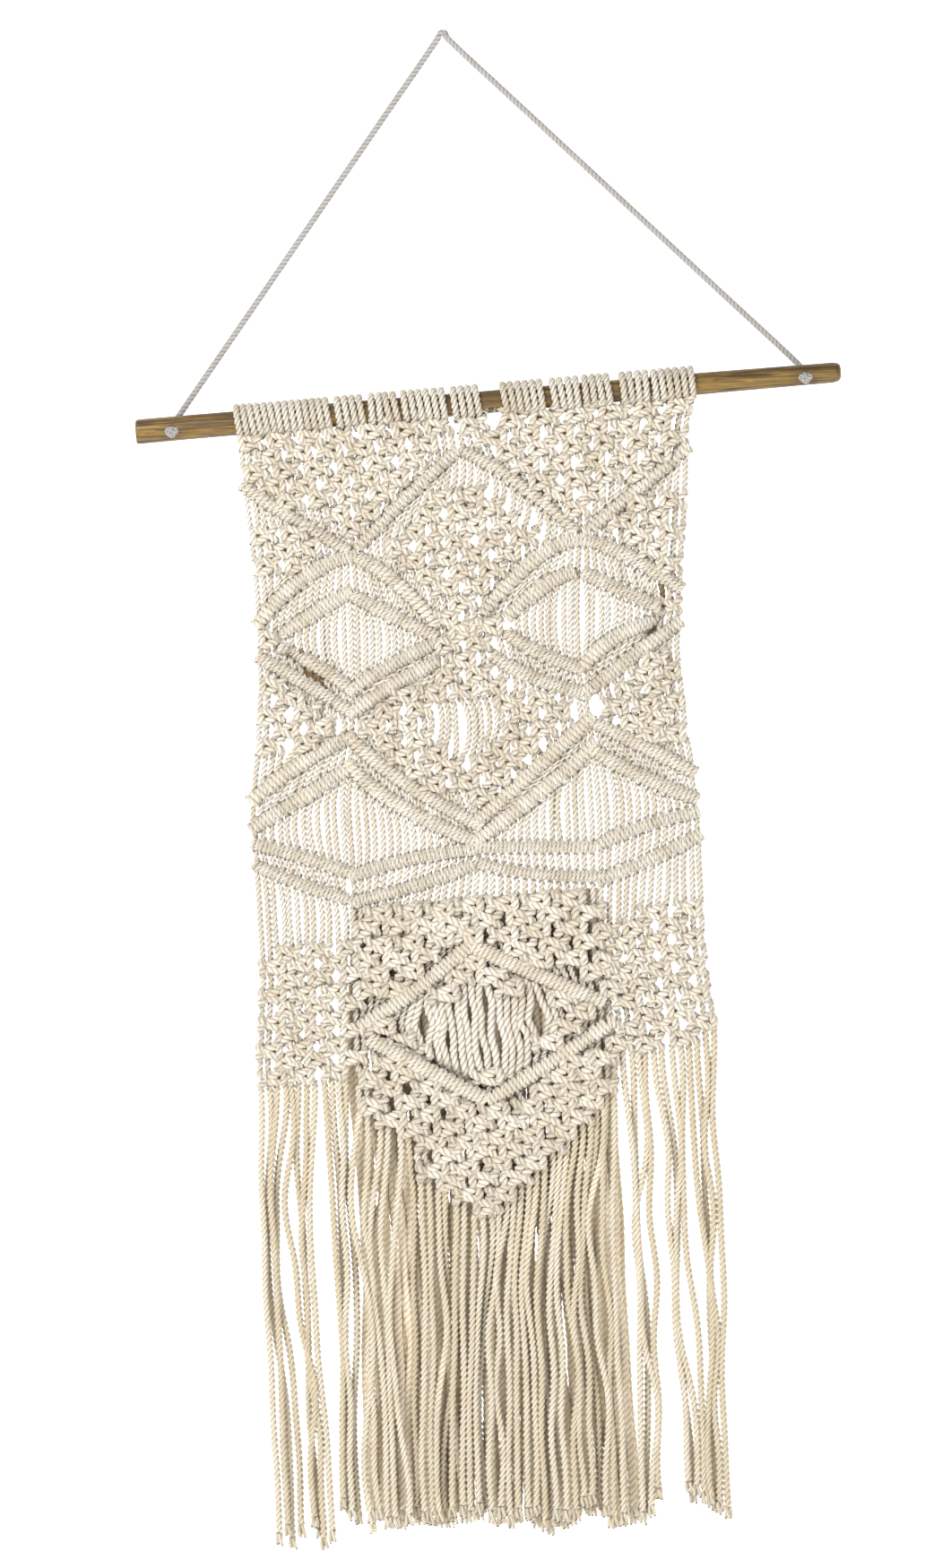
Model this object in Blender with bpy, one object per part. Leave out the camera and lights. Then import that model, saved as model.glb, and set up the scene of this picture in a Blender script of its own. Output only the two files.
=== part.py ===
"""Macrame wall hanging on a wooden rod: the construction solids, in metres, +Z up.

The origin is the point inside the bend of the hanger cord where a wall nail carries it.
+X runs to the right along the wall, the viewer stands at -Y, and the drop t is counted
downwards from the nail.  The knotted cloth is charted in strand space: s counts the 56
strands from the left edge (0) to the right edge (56), and t is the drop in millimetres.
EDGES turns a chart point into a place, so the cloth narrows and widens as it really hangs.
"""
import math

import bmesh
import bpy
import numpy as np
from mathutils import Vector
from mathutils.geometry import delaunay_2d_cdt

MM = 0.001
CLEARANCE = 0.3                 # gap kept between touching pieces, mm
TILT = math.tan(math.radians(2.13))   # the rod hangs a little higher at its right end

# ---- strands -------------------------------------------------------------------------
STRANDS = 56                    # 28 doubled cords on the rod
MIDDLE = STRANDS // 2
STRAND_PITCH = 4.9              # mm, used to measure slopes in the chart
BLOCK_LEFT = 12                 # the middle block hangs between these two strands
BLOCK_RIGHT = 44

# ---- rod -----------------------------------------------------------------------------
ROD_DROP = 228.7                # of the rod's axis, mm
ROD_LEFT = -201.5
ROD_RIGHT = 236.5
ROD_SIDES = 16
# along the rod from its left end, radius, both mm: a hand-worked, slightly uneven stick
ROD_PROFILE = (
    (0.0, 7.3),
    (1.2, 7.8),
    (60.0, 7.7),
    (150.0, 7.3),
    (250.0, 7.1),
    (350.0, 6.8),
    (434.5, 6.5),
    (438.0, 5.2),
)
HOLE_DIAMETER = 4.9
HOLE_BELOW_AXIS = 0.8
HOLE_LEFT = -178.8
HOLE_RIGHT = 213.6
HOLE_SIDES = 12
CUTTER_LENGTH = 30.0

# ---- hanger --------------------------------------------------------------------------
HANGER_RADIUS = 1.95
HANGER_FRONT = -8.6             # where the cord ends against its stopper knot, mm
HANGER_BACK = 13.8              # how far behind the rod's axis the cord turns upwards, mm
LEG_LENGTHS = 5                 # the straight part of a leg has this many route points
APEX_RISE = 2.0                 # cord centre above the nail point, mm
SHOULDER = (5.2, 0.6, -4.2)     # where a leg starts to bend over the nail: outward, back, up
CREST = (2.4, 0.1, 0.9)         # halfway from there to the apex
STOPPER_RADIUS = (3.9, 2.7, 3.4)   # half sizes of a stopper knot, mm

# ---- heading: larks-head loops packed on the rod ---------------------------------------
HEADING_SIDES = 8
HEADING_RISE = 1.1              # the loops sit a little higher than the rod's axis
RIB_RADIUS = 10.7               # over a rib
VALLEY_RADIUS = 9.6             # between two ribs
HEADING_BOTTOM = ROD_DROP - HEADING_RISE + RIB_RADIUS * math.cos(math.pi / HEADING_SIDES)
# first rib, last rib (mm along X), ribs in the group
HEADINGS = (
    (-137.9, -82.8, 14),
    (-75.6, -61.7, 4),
    (-54.9, -40.4, 4),
    (-34.3, -10.9, 6),
    (-3.6, 10.3, 4),
    (27.6, 49.9, 6),
    (58.2, 72.2, 4),
    (77.8, 91.7, 4),
    (101.2, 115.1, 4),
    (120.8, 143.6, 6),
)

# ---- knotted cloth -------------------------------------------------------------------
NET_HALF = 3.3                  # half thickness of the square-knot net, mm
STRAND_HALF = 2.0               # of strands that run free
BAR_HALF = 4.6                  # at the ridge of a double half hitch bar
BAR_EDGE_HALF = 3.0             # where a bar meets the cloth beside it
CLOTH_Y = 1.0                   # middle plane behind the rod's axis, mm
SWELL = 0.8                     # gentle waviness of the middle plane, mm
WAVE_ACROSS = (9.0, -16.0)      # strands per radian of the waves' two parts
WAVE_DOWN = (70.0, 38.0)        # mm per radian of the same
SECOND_WAVE = 0.6               # height of the second part beside the first
SLIT_WIDTH = 2.0                # between two free strands
SLIT_MARGIN = 0.9               # from a slit's end to the bar or net there
SHORTEST_SLIT = 18.0
SLIT_RANGE = (242.0, 629.0)     # drops between which strands can run free
SLIT_STEP = 0.25                # drops are tested this far apart, mm
EYE_STRANDS = 0.64              # half width of a net hole, in strands
EYE_HALF_HEIGHT = 3.0           # of a net hole, mm
EYE_SELVEDGE = 0.9              # strands left whole beside a net hole at the cloth's sides
EYE_RIM = 0.5                   # mm left whole between a net hole and a bar or the top
EYE_SEAM = 1.2                  # strands between a net hole and a seam
BAR_BORDER = 0.95               # mesh lines beside a bar, in half widths from its ridge

# drop, left edge, middle strand, right edge, all mm
EDGES = (
    (218.0, -136.5, -4.7, 146.0),
    (255.0, -139.0, -2.1, 141.0),
    (300.0, -135.5, -2.0, 138.2),
    (350.0, -133.2, -2.1, 132.5),
    (390.0, -134.0, -2.6, 129.0),
    (440.0, -138.7, -3.2, 132.0),
    (470.0, -143.3, -3.7, 135.0),
    (500.0, -142.1, -3.8, 136.5),
    (530.0, -141.5, -7.0, 137.5),
    (570.0, -141.0, -9.4, 136.5),
    (630.0, -146.5, -5.4, 141.5),
    (735.0, -146.5, -1.5, 140.5),
)

# double half hitch bars: name, start s, t, middle s, t, end s, t, width across (mm)
BARS = (
    ("crown_left", 28.0, 256.0, 21.5, 281.0, 14.2, 312.0, 11.0),
    ("crown_right", 28.0, 256.0, 34.8, 279.5, 42.0, 314.0, 11.0),
    ("upper_left_outer_a", 13.4, 317.0, 7.0, 327.0, 0.3, 354.0, 8.4),
    ("upper_left_outer_b", 14.4, 319.0, 18.2, 333.0, 23.0, 362.0, 8.4),
    ("upper_left_inner_a", 12.6, 339.5, 8.5, 348.5, 2.8, 364.0, 8.4),
    ("upper_left_inner_b", 13.2, 341.0, 17.0, 352.5, 22.4, 369.5, 8.4),
    ("upper_left_inner_c", 2.8, 369.0, 7.2, 380.5, 12.4, 400.5, 8.4),
    ("upper_left_inner_d", 22.8, 374.5, 17.0, 388.0, 13.0, 399.0, 8.4),
    ("upper_left_outer_c", 0.3, 374.5, 6.5, 394.0, 12.2, 413.5, 8.4),
    ("upper_left_outer_d", 23.2, 386.5, 17.5, 400.5, 13.0, 413.0, 8.4),
    ("upper_right_outer_a", 42.4, 318.5, 36.8, 328.5, 29.8, 361.0, 8.4),
    ("upper_right_outer_b", 43.2, 319.5, 48.0, 329.0, 55.7, 354.0, 8.4),
    ("upper_right_inner_a", 42.2, 337.5, 38.2, 345.0, 33.4, 362.0, 8.4),
    ("upper_right_inner_b", 42.8, 338.5, 47.5, 350.5, 53.2, 365.5, 8.4),
    ("upper_right_inner_c", 32.8, 371.5, 37.5, 386.5, 42.4, 398.0, 8.4),
    ("upper_right_inner_d", 53.2, 371.5, 47.2, 381.5, 43.2, 397.0, 8.4),
    ("upper_right_outer_c", 31.0, 385.0, 36.5, 402.0, 42.8, 413.0, 8.4),
    ("upper_right_outer_d", 55.7, 375.0, 49.0, 396.0, 43.6, 412.0, 8.4),
    ("lower_left_outer_a", 12.3, 428.5, 6.6, 441.0, 0.3, 463.0, 8.4),
    ("lower_left_outer_b", 12.9, 430.0, 18.6, 456.5, 27.3, 486.0, 8.4),
    ("lower_left_inner_a", 12.6, 446.0, 7.8, 460.5, 0.3, 480.5, 8.4),
    ("lower_left_inner_b", 13.1, 447.5, 18.5, 472.5, 26.8, 497.5, 8.4),
    ("lower_left_inner_c", 0.3, 489.5, 6.5, 500.5, 12.2, 513.0, 8.0),
    ("lower_left_inner_d", 26.8, 503.5, 19.5, 507.5, 12.8, 514.0, 8.0),
    ("lower_left_outer_c", 0.3, 502.5, 6.0, 517.0, 12.4, 529.5, 7.6),
    ("lower_left_outer_d", 27.2, 514.8, 20.0, 524.5, 13.0, 530.0, 7.6),
    ("lower_right_outer_a", 43.0, 431.0, 36.5, 456.0, 28.7, 486.5, 8.4),
    ("lower_right_outer_b", 43.6, 431.5, 49.5, 448.5, 55.7, 468.5, 8.4),
    ("lower_right_inner_a", 42.9, 448.0, 37.6, 468.5, 29.8, 494.0, 8.4),
    ("lower_right_inner_b", 43.5, 448.5, 48.8, 467.0, 55.7, 485.0, 8.4),
    ("lower_right_inner_c", 29.6, 503.0, 36.0, 506.5, 42.8, 509.5, 8.0),
    ("lower_right_inner_d", 55.7, 493.0, 48.5, 499.5, 43.4, 508.5, 8.0),
    ("lower_right_outer_c", 29.0, 512.8, 35.0, 522.3, 43.0, 527.0, 7.6),
    ("lower_right_outer_d", 55.7, 507.5, 49.8, 519.5, 43.6, 530.0, 7.6),
    ("brow_left", 27.7, 564.0, 21.2, 585.5, 13.2, 608.0, 9.0),
    ("brow_right", 28.4, 565.0, 35.2, 584.5, 43.2, 607.0, 9.0),
    ("chin_left", 14.2, 616.5, 20.5, 637.0, 27.8, 660.0, 9.0),
    ("chin_right", 43.4, 618.5, 36.0, 640.0, 28.4, 660.0, 9.0),
)
BAR_STEPS = 4                   # straight lengths along a bar's curve

# square-knot nets: name, first row t, row pitch (mm), s of a hole in that row,
# rows cut (1 every row, 2 every other row), corners as s, t pairs
NETS = (
    ("upper_left", 241.5, 9.7, 28.0, 1,
     (0.0, 236.0), (28.4, 236.0), (28.4, 246.0), (13.8, 305.0), (7.0, 318.0), (0.0, 343.0)),
    ("upper_right", 241.5, 9.7, 28.0, 1,
     (27.6, 236.0), (56.0, 236.0), (56.0, 345.0), (48.5, 321.0), (42.5, 304.0), (28.2, 246.0)),
    ("upper_diamond", 295.0, 9.4, 25.4, 1,
     (28.0, 279.0), (36.6, 314.0), (28.6, 366.0), (26.4, 366.0), (20.2, 311.0)),
    ("lower_diamond", 377.5, 9.4, 23.2, 1,
     (26.4, 366.0), (28.6, 366.0), (33.4, 397.0), (42.6, 419.0), (28.2, 481.0),
     (13.4, 420.0), (23.8, 390.0)),
    ("left_triangle", 393.0, 9.4, 0.8, 1,
     (0.0, 381.0), (12.4, 420.0), (6.6, 434.0), (0.0, 455.0)),
    ("right_triangle", 396.0, 9.4, 54.8, 1,
     (56.0, 382.0), (56.0, 461.0), (49.5, 441.0), (43.6, 423.0), (49.0, 403.0)),
    ("block_top", 549.0, 9.2, 15.2, 2,
     (12.3, 541.0), (43.7, 541.0), (43.7, 600.0), (28.4, 558.0), (27.7, 558.0), (12.3, 603.0)),
    ("block_eye", 590.0, 9.0, 24.0, 1,
     (28.0, 573.0), (42.4, 612.5), (28.1, 651.0), (14.4, 612.0)),
    ("block_point", 640.5, 8.6, 16.8, 2,
     (12.3, 622.0), (28.1, 668.0), (43.7, 626.0), (44.3, 655.0), (28.2, 738.0), (12.0, 645.0)),
    ("left_side", 576.0, 8.5, 9.6, 2,
     (0.0, 556.0), (11.7, 567.0), (11.7, 634.0), (0.0, 634.0)),
    ("right_side", 562.0, 8.8, 49.6, 2,
     (44.3, 568.0), (56.0, 547.0), (56.0, 634.0), (44.3, 634.0)),
)

# bowed free strands inside nets: name, corners as s, t pairs
FREE_PATCHES = (
    ("middle_window", (27.4, 411.0), (33.6, 426.0), (33.6, 437.0), (27.4, 449.0),
     (22.8, 438.0), (22.8, 423.0)),
    ("eye", (27.0, 589.0), (32.5, 593.0), (35.6, 612.0), (33.0, 630.0), (29.4, 643.0),
     (25.5, 636.0), (21.4, 616.0), (22.0, 600.0)),
)

# seams where the side nets hang beside the middle block: s, first t, last t
SEAMS = (
    (12.0, 571.0, 619.0),
    (44.0, 543.0, 617.0),
)

# the cloth's outline, clockwise from its top left corner, as s, t pairs
CLOTH_TOP = HEADING_BOTTOM + CLEARANCE
NET_END = 631.0
OUTLINE = (
    (0.0, CLOTH_TOP), (56.0, CLOTH_TOP),
    (56.0, 255.0), (56.0, 300.0), (56.0, 350.0), (56.0, 390.0), (56.0, 440.0), (56.0, 470.0),
    (56.0, 500.0), (56.0, 530.0), (56.0, 570.0), (56.0, 600.0),
    (56.0, NET_END), (BLOCK_RIGHT, NET_END + 2.0),
    (BLOCK_RIGHT, 654.0), (40.0, 674.0), (36.0, 694.0), (32.0, 714.0), (29.0, 732.0),
    (27.0, 732.0), (24.0, 714.0), (20.0, 691.0), (16.0, 668.0), (BLOCK_LEFT, 645.0),
    (BLOCK_LEFT, NET_END + 1.0), (0.0, NET_END),
    (0.0, 600.0), (0.0, 570.0), (0.0, 530.0), (0.0, 500.0), (0.0, 470.0), (0.0, 440.0),
    (0.0, 390.0), (0.0, 350.0), (0.0, 300.0), (0.0, 255.0),
)

# ---- fringe --------------------------------------------------------------------------
STRIP_HEIGHT = 4.0              # backing strip, along the drop, mm
STRIP_HALF = 3.0                # half its depth, mm
FRINGE_STRAND = 4.3             # across one strand, mm
FRINGE_LAYER = 2.6              # front and back strands stand this far from the middle, mm
ROOT_GAP = 0.8                  # between two strand roots, mm
LENGTHS = 5                     # straight lengths along one strand
GATHERED = 0.35                 # share of a strand over which it moves to its gathered place
LENGTHENING = 1.6               # power by which a strand's straight lengths grow downwards
BACK_LENGTHS = 4
# x (mm) and drop (mm) of the fringe's tips
TIPS = (
    (-150.0, 921.0), (-136.0, 925.0), (-126.0, 917.0), (-118.0, 925.0), (-104.0, 910.0),
    (-90.0, 914.0), (-72.0, 921.0), (-56.0, 917.0), (-40.0, 921.0), (-24.0, 916.0),
    (-6.0, 918.0), (16.0, 925.0), (34.0, 927.0), (48.0, 917.0), (66.0, 930.0),
    (82.0, 927.0), (100.0, 918.0), (118.0, 918.0), (136.0, 931.0), (150.0, 918.0),
)
# gathering of the hanging strands: knot centre s, shift of its strands at the tips (mm)
SIDE_KNOTS_LEFT = ((2.0, 3.5), (6.0, 5.0), (10.0, 3.0))
SIDE_KNOTS_RIGHT = ((46.0, 6.0), (50.0, 1.0), (54.0, 2.5))
# pairs that leave the point of the block: first strand, shift at the tips (mm)
POINT_PAIRS = (
    (12, 2.0), (14, 1.0), (16, -3.5), (18, 4.0), (20, 1.0), (22, -1.0), (24, 2.0), (26, -1.0),
    (28, 1.5), (30, 2.0), (32, -1.5), (34, 2.5), (36, 1.0), (38, -2.0), (40, 2.0), (42, -1.5),
)
RIM_GAP = 0.1                   # more than the clearance, where a rim is curved, mm
POINT_RIM_GAP = 0.8             # the same under the block's steep rim
RIM_TOP = 640.0                 # outline corners below this drop are the block's rim
BACK_STRANDS = 30
BACK_DEPTH = 8.8                # middle plane of the back fringe behind the cloth's, mm
BACK_STRIP_DROP = 524.0
BACK_STRIP_HALF = 3.6


def remove_everything():
    """Start from an empty scene."""
    for thing in list(bpy.data.objects):
        bpy.data.objects.remove(thing, do_unlink=True)


def material(name, colour, roughness):
    """A plain Principled BSDF finish."""
    finish = bpy.data.materials.new(name)
    finish.use_nodes = True
    shader = finish.node_tree.nodes["Principled BSDF"]
    shader.inputs["Base Color"].default_value = (*colour, 1.0)
    shader.inputs["Roughness"].default_value = roughness
    shader.inputs["Metallic"].default_value = 0.0
    return finish


def add_object(name, vertices, faces, finish, smooth=False):
    """A mesh object from points in millimetres and its faces."""
    mesh = bpy.data.meshes.new(name)
    mesh.from_pydata([(x * MM, y * MM, z * MM) for x, y, z in vertices], [], faces)
    mesh.validate()
    shape = bmesh.new()
    shape.from_mesh(mesh)
    bmesh.ops.recalc_face_normals(shape, faces=shape.faces)
    if shape.calc_volume(signed=True) < 0.0:
        bmesh.ops.reverse_faces(shape, faces=shape.faces)
    shape.to_mesh(mesh)
    shape.free()
    if smooth:
        mesh.shade_smooth()
        mesh.set_sharp_from_angle(angle=math.radians(40))
    mesh.materials.append(finish)
    thing = bpy.data.objects.new(name, mesh)
    bpy.context.scene.collection.objects.link(thing)
    return thing


# ---- the chart -----------------------------------------------------------------------
EDGE_ARRAY = np.array(EDGES)


def across(s, t):
    """X of strand position s at drop t, mm."""
    left, middle, right = (np.interp(t, EDGE_ARRAY[:, 0], EDGE_ARRAY[:, k]) for k in (1, 2, 3))
    on_left = left + (middle - left) * s / MIDDLE
    on_right = middle + (right - middle) * (s - MIDDLE) / MIDDLE
    return np.where(s < MIDDLE, on_left, on_right)


def height(x, t):
    """Z of a point x across at drop t, mm."""
    return -t + x * TILT


def cloth_middle(s, t):
    """Y of the cloth's middle plane: two slow waves, mm."""
    first, second = (np.sin(s / strands + t / drop) for strands, drop in zip(WAVE_ACROSS, WAVE_DOWN))
    return CLOTH_Y + SWELL * (first + SECOND_WAVE * second) / (1.0 + SECOND_WAVE)


def bar_curve(bar):
    """Points along a bar's curve through its three chart points, as an array of s, t."""
    _, s0, t0, s1, t1, s2, t2, _ = bar
    start, middle, end = np.array((s0, t0)), np.array((s1, t1)), np.array((s2, t2))
    control = 2.0 * middle - 0.5 * (start + end)
    u = np.linspace(0.0, 1.0, BAR_STEPS + 1)[:, None]
    return (1 - u) ** 2 * start + 2 * u * (1 - u) * control + u ** 2 * end


def bar_offset(curve, width):
    """How far up or down the drop a bar's border lies from its curve, for each point."""
    step = np.gradient(curve, axis=0)
    slope = step[:, 1] / (step[:, 0] * STRAND_PITCH)
    return 0.5 * width * np.sqrt(1.0 + slope ** 2)


def inside(points, corners):
    """Whether each s, t point lies inside a polygon, by counting crossed sides."""
    points = np.atleast_2d(points)
    result = np.zeros(len(points), dtype=bool)
    ring = np.array(corners)
    for (s0, t0), (s1, t1) in zip(ring, np.roll(ring, -1, axis=0)):
        if t0 == t1:
            continue
        crosses = (t0 > points[:, 1]) != (t1 > points[:, 1])
        cut = s0 + (points[:, 1] - t0) * (s1 - s0) / (t1 - t0)
        result ^= crosses & (points[:, 0] < cut)
    return result


CURVES = [(bar_curve(bar), bar[-1]) for bar in BARS]


def bar_band(s):
    """Drops covered by the bars that cross strand position s, as (top, bottom) pairs."""
    bands = []
    for curve, width in CURVES:
        ordered = curve[np.argsort(curve[:, 0])]
        offset = bar_offset(ordered, width)
        if ordered[0, 0] - 0.2 <= s <= ordered[-1, 0] + 0.2:
            centre = np.interp(s, ordered[:, 0], ordered[:, 1])
            reach = np.interp(s, ordered[:, 0], offset)
            bands.append((centre - reach, centre + reach))
    return bands


def in_net(s, t):
    """Whether chart points lie in a net of square knots and not in a patch of free strands."""
    points = np.column_stack((np.broadcast_to(s, np.shape(t)), t))
    knotted = np.zeros(len(points), dtype=bool)
    for net in NETS:
        knotted |= inside(points, net[5:])
    for patch in FREE_PATCHES:
        knotted &= ~inside(points, patch[1:])
    return knotted


def slits():
    """Gaps between neighbouring free strands: loops of four chart points."""
    loops = []
    drops = np.arange(*SLIT_RANGE, SLIT_STEP)
    for s in range(1, STRANDS):
        free = ~in_net(float(s), drops)
        for top, bottom in bar_band(float(s)):
            free &= (drops < top) | (drops > bottom)
        edges = np.flatnonzero(np.diff(np.concatenate(([0], free.astype(int), [0]))))
        for first, last in zip(edges[::2], edges[1::2]):
            start = drops[first] + SLIT_MARGIN
            end = drops[last - 1] - SLIT_MARGIN
            if end - start >= SHORTEST_SLIT and not seam_at(s, start, end):
                loops.append(slit_loop(float(s), start, end))
    for s, start, end in SEAMS:
        loops.append(slit_loop(s, start, end))
    return loops


def seam_at(s, start, end):
    """Whether a seam already runs along this gap."""
    return any(s == seam[0] and start < seam[2] and end > seam[1] for seam in SEAMS)


def slit_loop(s, start, end):
    """A narrow upright loop between two strands."""
    half = 0.5 * SLIT_WIDTH / STRAND_PITCH
    return ((s - half, start), (s + half, start), (s + half, end), (s - half, end))


def net_holes():
    """Diamond gaps between square knots: loops of four chart points."""
    loops = []
    for net in NETS:
        _, first, pitch, phase, every = net[:5]
        corners = net[5:]
        bottom = max(t for _, t in corners)
        row = 0
        while first + row * pitch < bottom:
            if row % every == 0:
                t = first + row * pitch
                shift = phase + 2.0 * (row % 2)
                for step in range(-STRANDS // 4, STRANDS // 4 + 1):
                    loop = eye_loop(shift + 4.0 * step, t)
                    if eye_fits(loop, corners):
                        loops.append(loop)
            row += 1
    return loops


def eye_loop(s, t):
    """A diamond gap centred on a chart point."""
    return ((s, t - EYE_HALF_HEIGHT), (s + EYE_STRANDS, t), (s, t + EYE_HALF_HEIGHT),
            (s - EYE_STRANDS, t))


def eye_fits(loop, corners):
    """Whether a diamond gap lies inside its net, clear of bars, patches and the rim."""
    points = np.array(loop)
    if not inside(points, corners).all() or points[:, 1].min() < CLOTH_TOP + EYE_RIM:
        return False
    if points[:, 0].min() < EYE_SELVEDGE or points[:, 0].max() > STRANDS - EYE_SELVEDGE:
        return False
    if any(inside(points, patch[1:]).any() for patch in FREE_PATCHES):
        return False
    for s, t in loop:
        for top, bottom in bar_band(s):
            if top - EYE_RIM < t < bottom + EYE_RIM:
                return False
    return all(abs(points[:, 0].mean() - seam[0]) > EYE_SEAM for seam in SEAMS)


# ---- the knotted cloth ---------------------------------------------------------------
def to_plane(chain):
    """Chart points as points of the wall plane: an array of x, z in mm."""
    chain = np.array(chain, dtype=float)
    x = across(chain[:, 0], chain[:, 1])
    return np.column_stack((x, height(x, chain[:, 1])))


def to_chart(plane):
    """The chart point s, t of each point of the wall plane."""
    x = plane[:, 0]
    t = -plane[:, 1] + x * TILT
    left, middle, right = (np.interp(t, EDGE_ARRAY[:, 0], EDGE_ARRAY[:, k]) for k in (1, 2, 3))
    on_left = MIDDLE * (x - left) / (middle - left)
    on_right = MIDDLE + MIDDLE * (x - middle) / (right - middle)
    return np.where(x < middle, on_left, on_right), t


def half_thickness(s, t):
    """Half the cloth's thickness at each chart point: strand, net, or the ridge of a bar."""
    result = np.where(
        [in_net(one_s, np.array([one_t]))[0] for one_s, one_t in zip(s, t)],
        NET_HALF, STRAND_HALF)
    for k, (one_s, one_t) in enumerate(zip(s, t)):
        for top, bottom in bar_band(one_s):
            reach = 0.5 * (bottom - top)
            off = abs(one_t - 0.5 * (top + bottom)) / reach
            if off < 1.0:
                ridge = BAR_HALF + (BAR_EDGE_HALF - BAR_HALF) * off
                result[k] = max(result[k], ridge)
    return result


def cloth_lines():
    """The lines that the cloth's mesh follows, in the wall plane, and its hole loops."""
    points, lines = [], []

    def add_line(chain, closed):
        first = len(points)
        points.extend(to_plane(chain))
        count = len(chain)
        for k in range(count if closed else count - 1):
            lines.append((first + k, first + (k + 1) % count))

    holes = slits()
    eyes = net_holes()
    for loop in [OUTLINE, *holes, *eyes]:
        add_line(loop, True)
    for curve, width in CURVES:
        add_line(curve, False)
        offset = bar_offset(curve, width)
        for side in (-BAR_BORDER, BAR_BORDER):
            add_line(curve + np.column_stack((np.zeros(len(curve)), side * offset)), False)
    return points, lines, [to_plane(loop) for loop in holes + eyes]


def build_cloth(finish):
    """The knotted cloth: one sheet cut by its gaps, with its bars raised on both faces."""
    points, lines, holes = cloth_lines()
    flat, _, triangles, _, _, _ = delaunay_2d_cdt(
        [Vector(point) for point in points], lines, [], 0, 1e-4)
    plane = np.array([(v.x, v.y) for v in flat])
    triangles = np.array(triangles)
    centres = plane[triangles].mean(axis=1)
    kept = inside(centres, to_plane(OUTLINE))
    for loop in holes:
        kept &= ~inside(centres, loop)
    triangles = triangles[kept]
    used, compact = np.unique(triangles, return_inverse=True)
    triangles = compact.reshape(-1, 3)
    plane = plane[used]
    corner = plane[triangles]
    first = corner[:, 1] - corner[:, 0]
    second = corner[:, 2] - corner[:, 0]
    turned = first[:, 0] * second[:, 1] - first[:, 1] * second[:, 0] < 0.0
    triangles[turned] = triangles[turned][:, ::-1]
    s, t = to_chart(plane)
    half = half_thickness(s, t)
    middle = cloth_middle(s, t)
    front = np.column_stack((plane[:, 0], middle - half, plane[:, 1]))
    back = np.column_stack((plane[:, 0], middle + half, plane[:, 1]))
    count = len(plane)
    faces = [tuple(face) for face in triangles]
    faces += [tuple(face[::-1] + count) for face in triangles]
    sides = {}
    for a, b, c in triangles:
        for start, end in ((a, b), (b, c), (c, a)):
            sides[(start, end)] = True
    for start, end in sides:
        if (end, start) not in sides:
            faces.append((end, start, start + count, end + count))
    return add_object("knotted_cloth", [*front, *back], faces, finish)


# ---- the fringe ----------------------------------------------------------------------
def tip_drop(x):
    """Drop of the fringe's tips across the hanging, mm."""
    table = np.array(TIPS)
    return float(np.interp(x, table[:, 0], table[:, 1]))


def root_cells(first, count, rim):
    """Left and right x of each strand's root under a rim line drop = rim(s)."""
    cells = []
    for strand in range(first, first + count):
        left = float(across(strand, rim(strand)))
        right = float(across(strand + 1, rim(strand + 1)))
        cells.append((left + 0.5 * ROOT_GAP, right - 0.5 * ROOT_GAP))
    return cells


def build_fringe(name, first, rim, strip_y, strip_half, layers, shifts, lengths, finish):
    """Hanging strands fused at their roots into a narrow strip under the cloth's rim.

    Each strand has four sides.  It leaves its own cell of the strip's lower face and moves
    to its layer and its gathered place on the way down.
    """
    count = len(layers)
    cells = root_cells(first, count, rim)
    vertices, faces = [], []
    columns = [x for cell in cells for x in cell]
    strands = [first + k + part for k in range(count) for part in (0.0, 1.0)]
    for x, s in zip(columns, strands):
        top = rim(s) + CLEARANCE
        middle = float(strip_y(s, top))
        for drop in (top, top + STRIP_HEIGHT):
            for side in (-strip_half, strip_half):
                vertices.append((x, middle + side, float(height(x, drop))))
    for k in range(len(columns) - 1):
        a, b = 4 * k, 4 * (k + 1)
        faces.append((a, b, b + 1, a + 1))
        faces.append((a, a + 2, b + 2, b))
        faces.append((a + 1, b + 1, b + 3, a + 3))
        if k % 2:
            faces.append((a + 2, a + 3, b + 3, b + 2))
    last = 4 * (len(columns) - 1)
    faces.append((0, 1, 3, 2))
    faces.append((last, last + 2, last + 3, last + 1))
    half = 0.5 * FRINGE_STRAND
    for k, (left, right) in enumerate(cells):
        a, b = 8 * k, 8 * k + 4
        ring = (a + 2, b + 2, b + 3, a + 3)
        x_root = 0.5 * (left + right)
        t_root = rim(first + k + 0.5) + CLEARANCE + STRIP_HEIGHT
        y_root = float(strip_y(first + k + 0.5, t_root))
        x_tip = x_root + shifts[k]
        t_tip = tip_drop(x_tip)
        for step in range(1, lengths + 1):
            along = step / lengths
            drop = t_root + (t_tip - t_root) * along ** LENGTHENING
            gather = min(1.0, max(0.0, (along - 1.0 / lengths) / GATHERED))
            x = x_root + (x_tip - x_root) * gather
            y = y_root + layers[k]
            base = len(vertices)
            z = float(height(x, drop))
            for side_x, side_y in ((-half, -half), (half, -half), (half, half), (-half, half)):
                vertices.append((x + side_x, y + side_y, z))
            new = (base, base + 1, base + 2, base + 3)
            for p in range(4):
                q = (p + 1) % 4
                faces.append((ring[p], ring[q], new[q], new[p]))
            ring = new
        faces.append(ring)
    return add_object(name, vertices, faces, finish)


def side_plan(first, knots):
    """Layer and gathered shift of the twelve strands that hang from three side knots."""
    layers, shifts = [], []
    for k, (centre, shift) in enumerate(knots):
        for place in range(4):
            offset = first + 4 * k + place + 0.5 - centre
            outer = place in (0, 3)
            layers.append(-FRINGE_LAYER if outer else FRINGE_LAYER)
            target = math.copysign(0.5 * (FRINGE_STRAND + ROOT_GAP), place - 1.5)
            shifts.append(target - offset * STRAND_PITCH + shift)
    return layers, shifts


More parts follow.
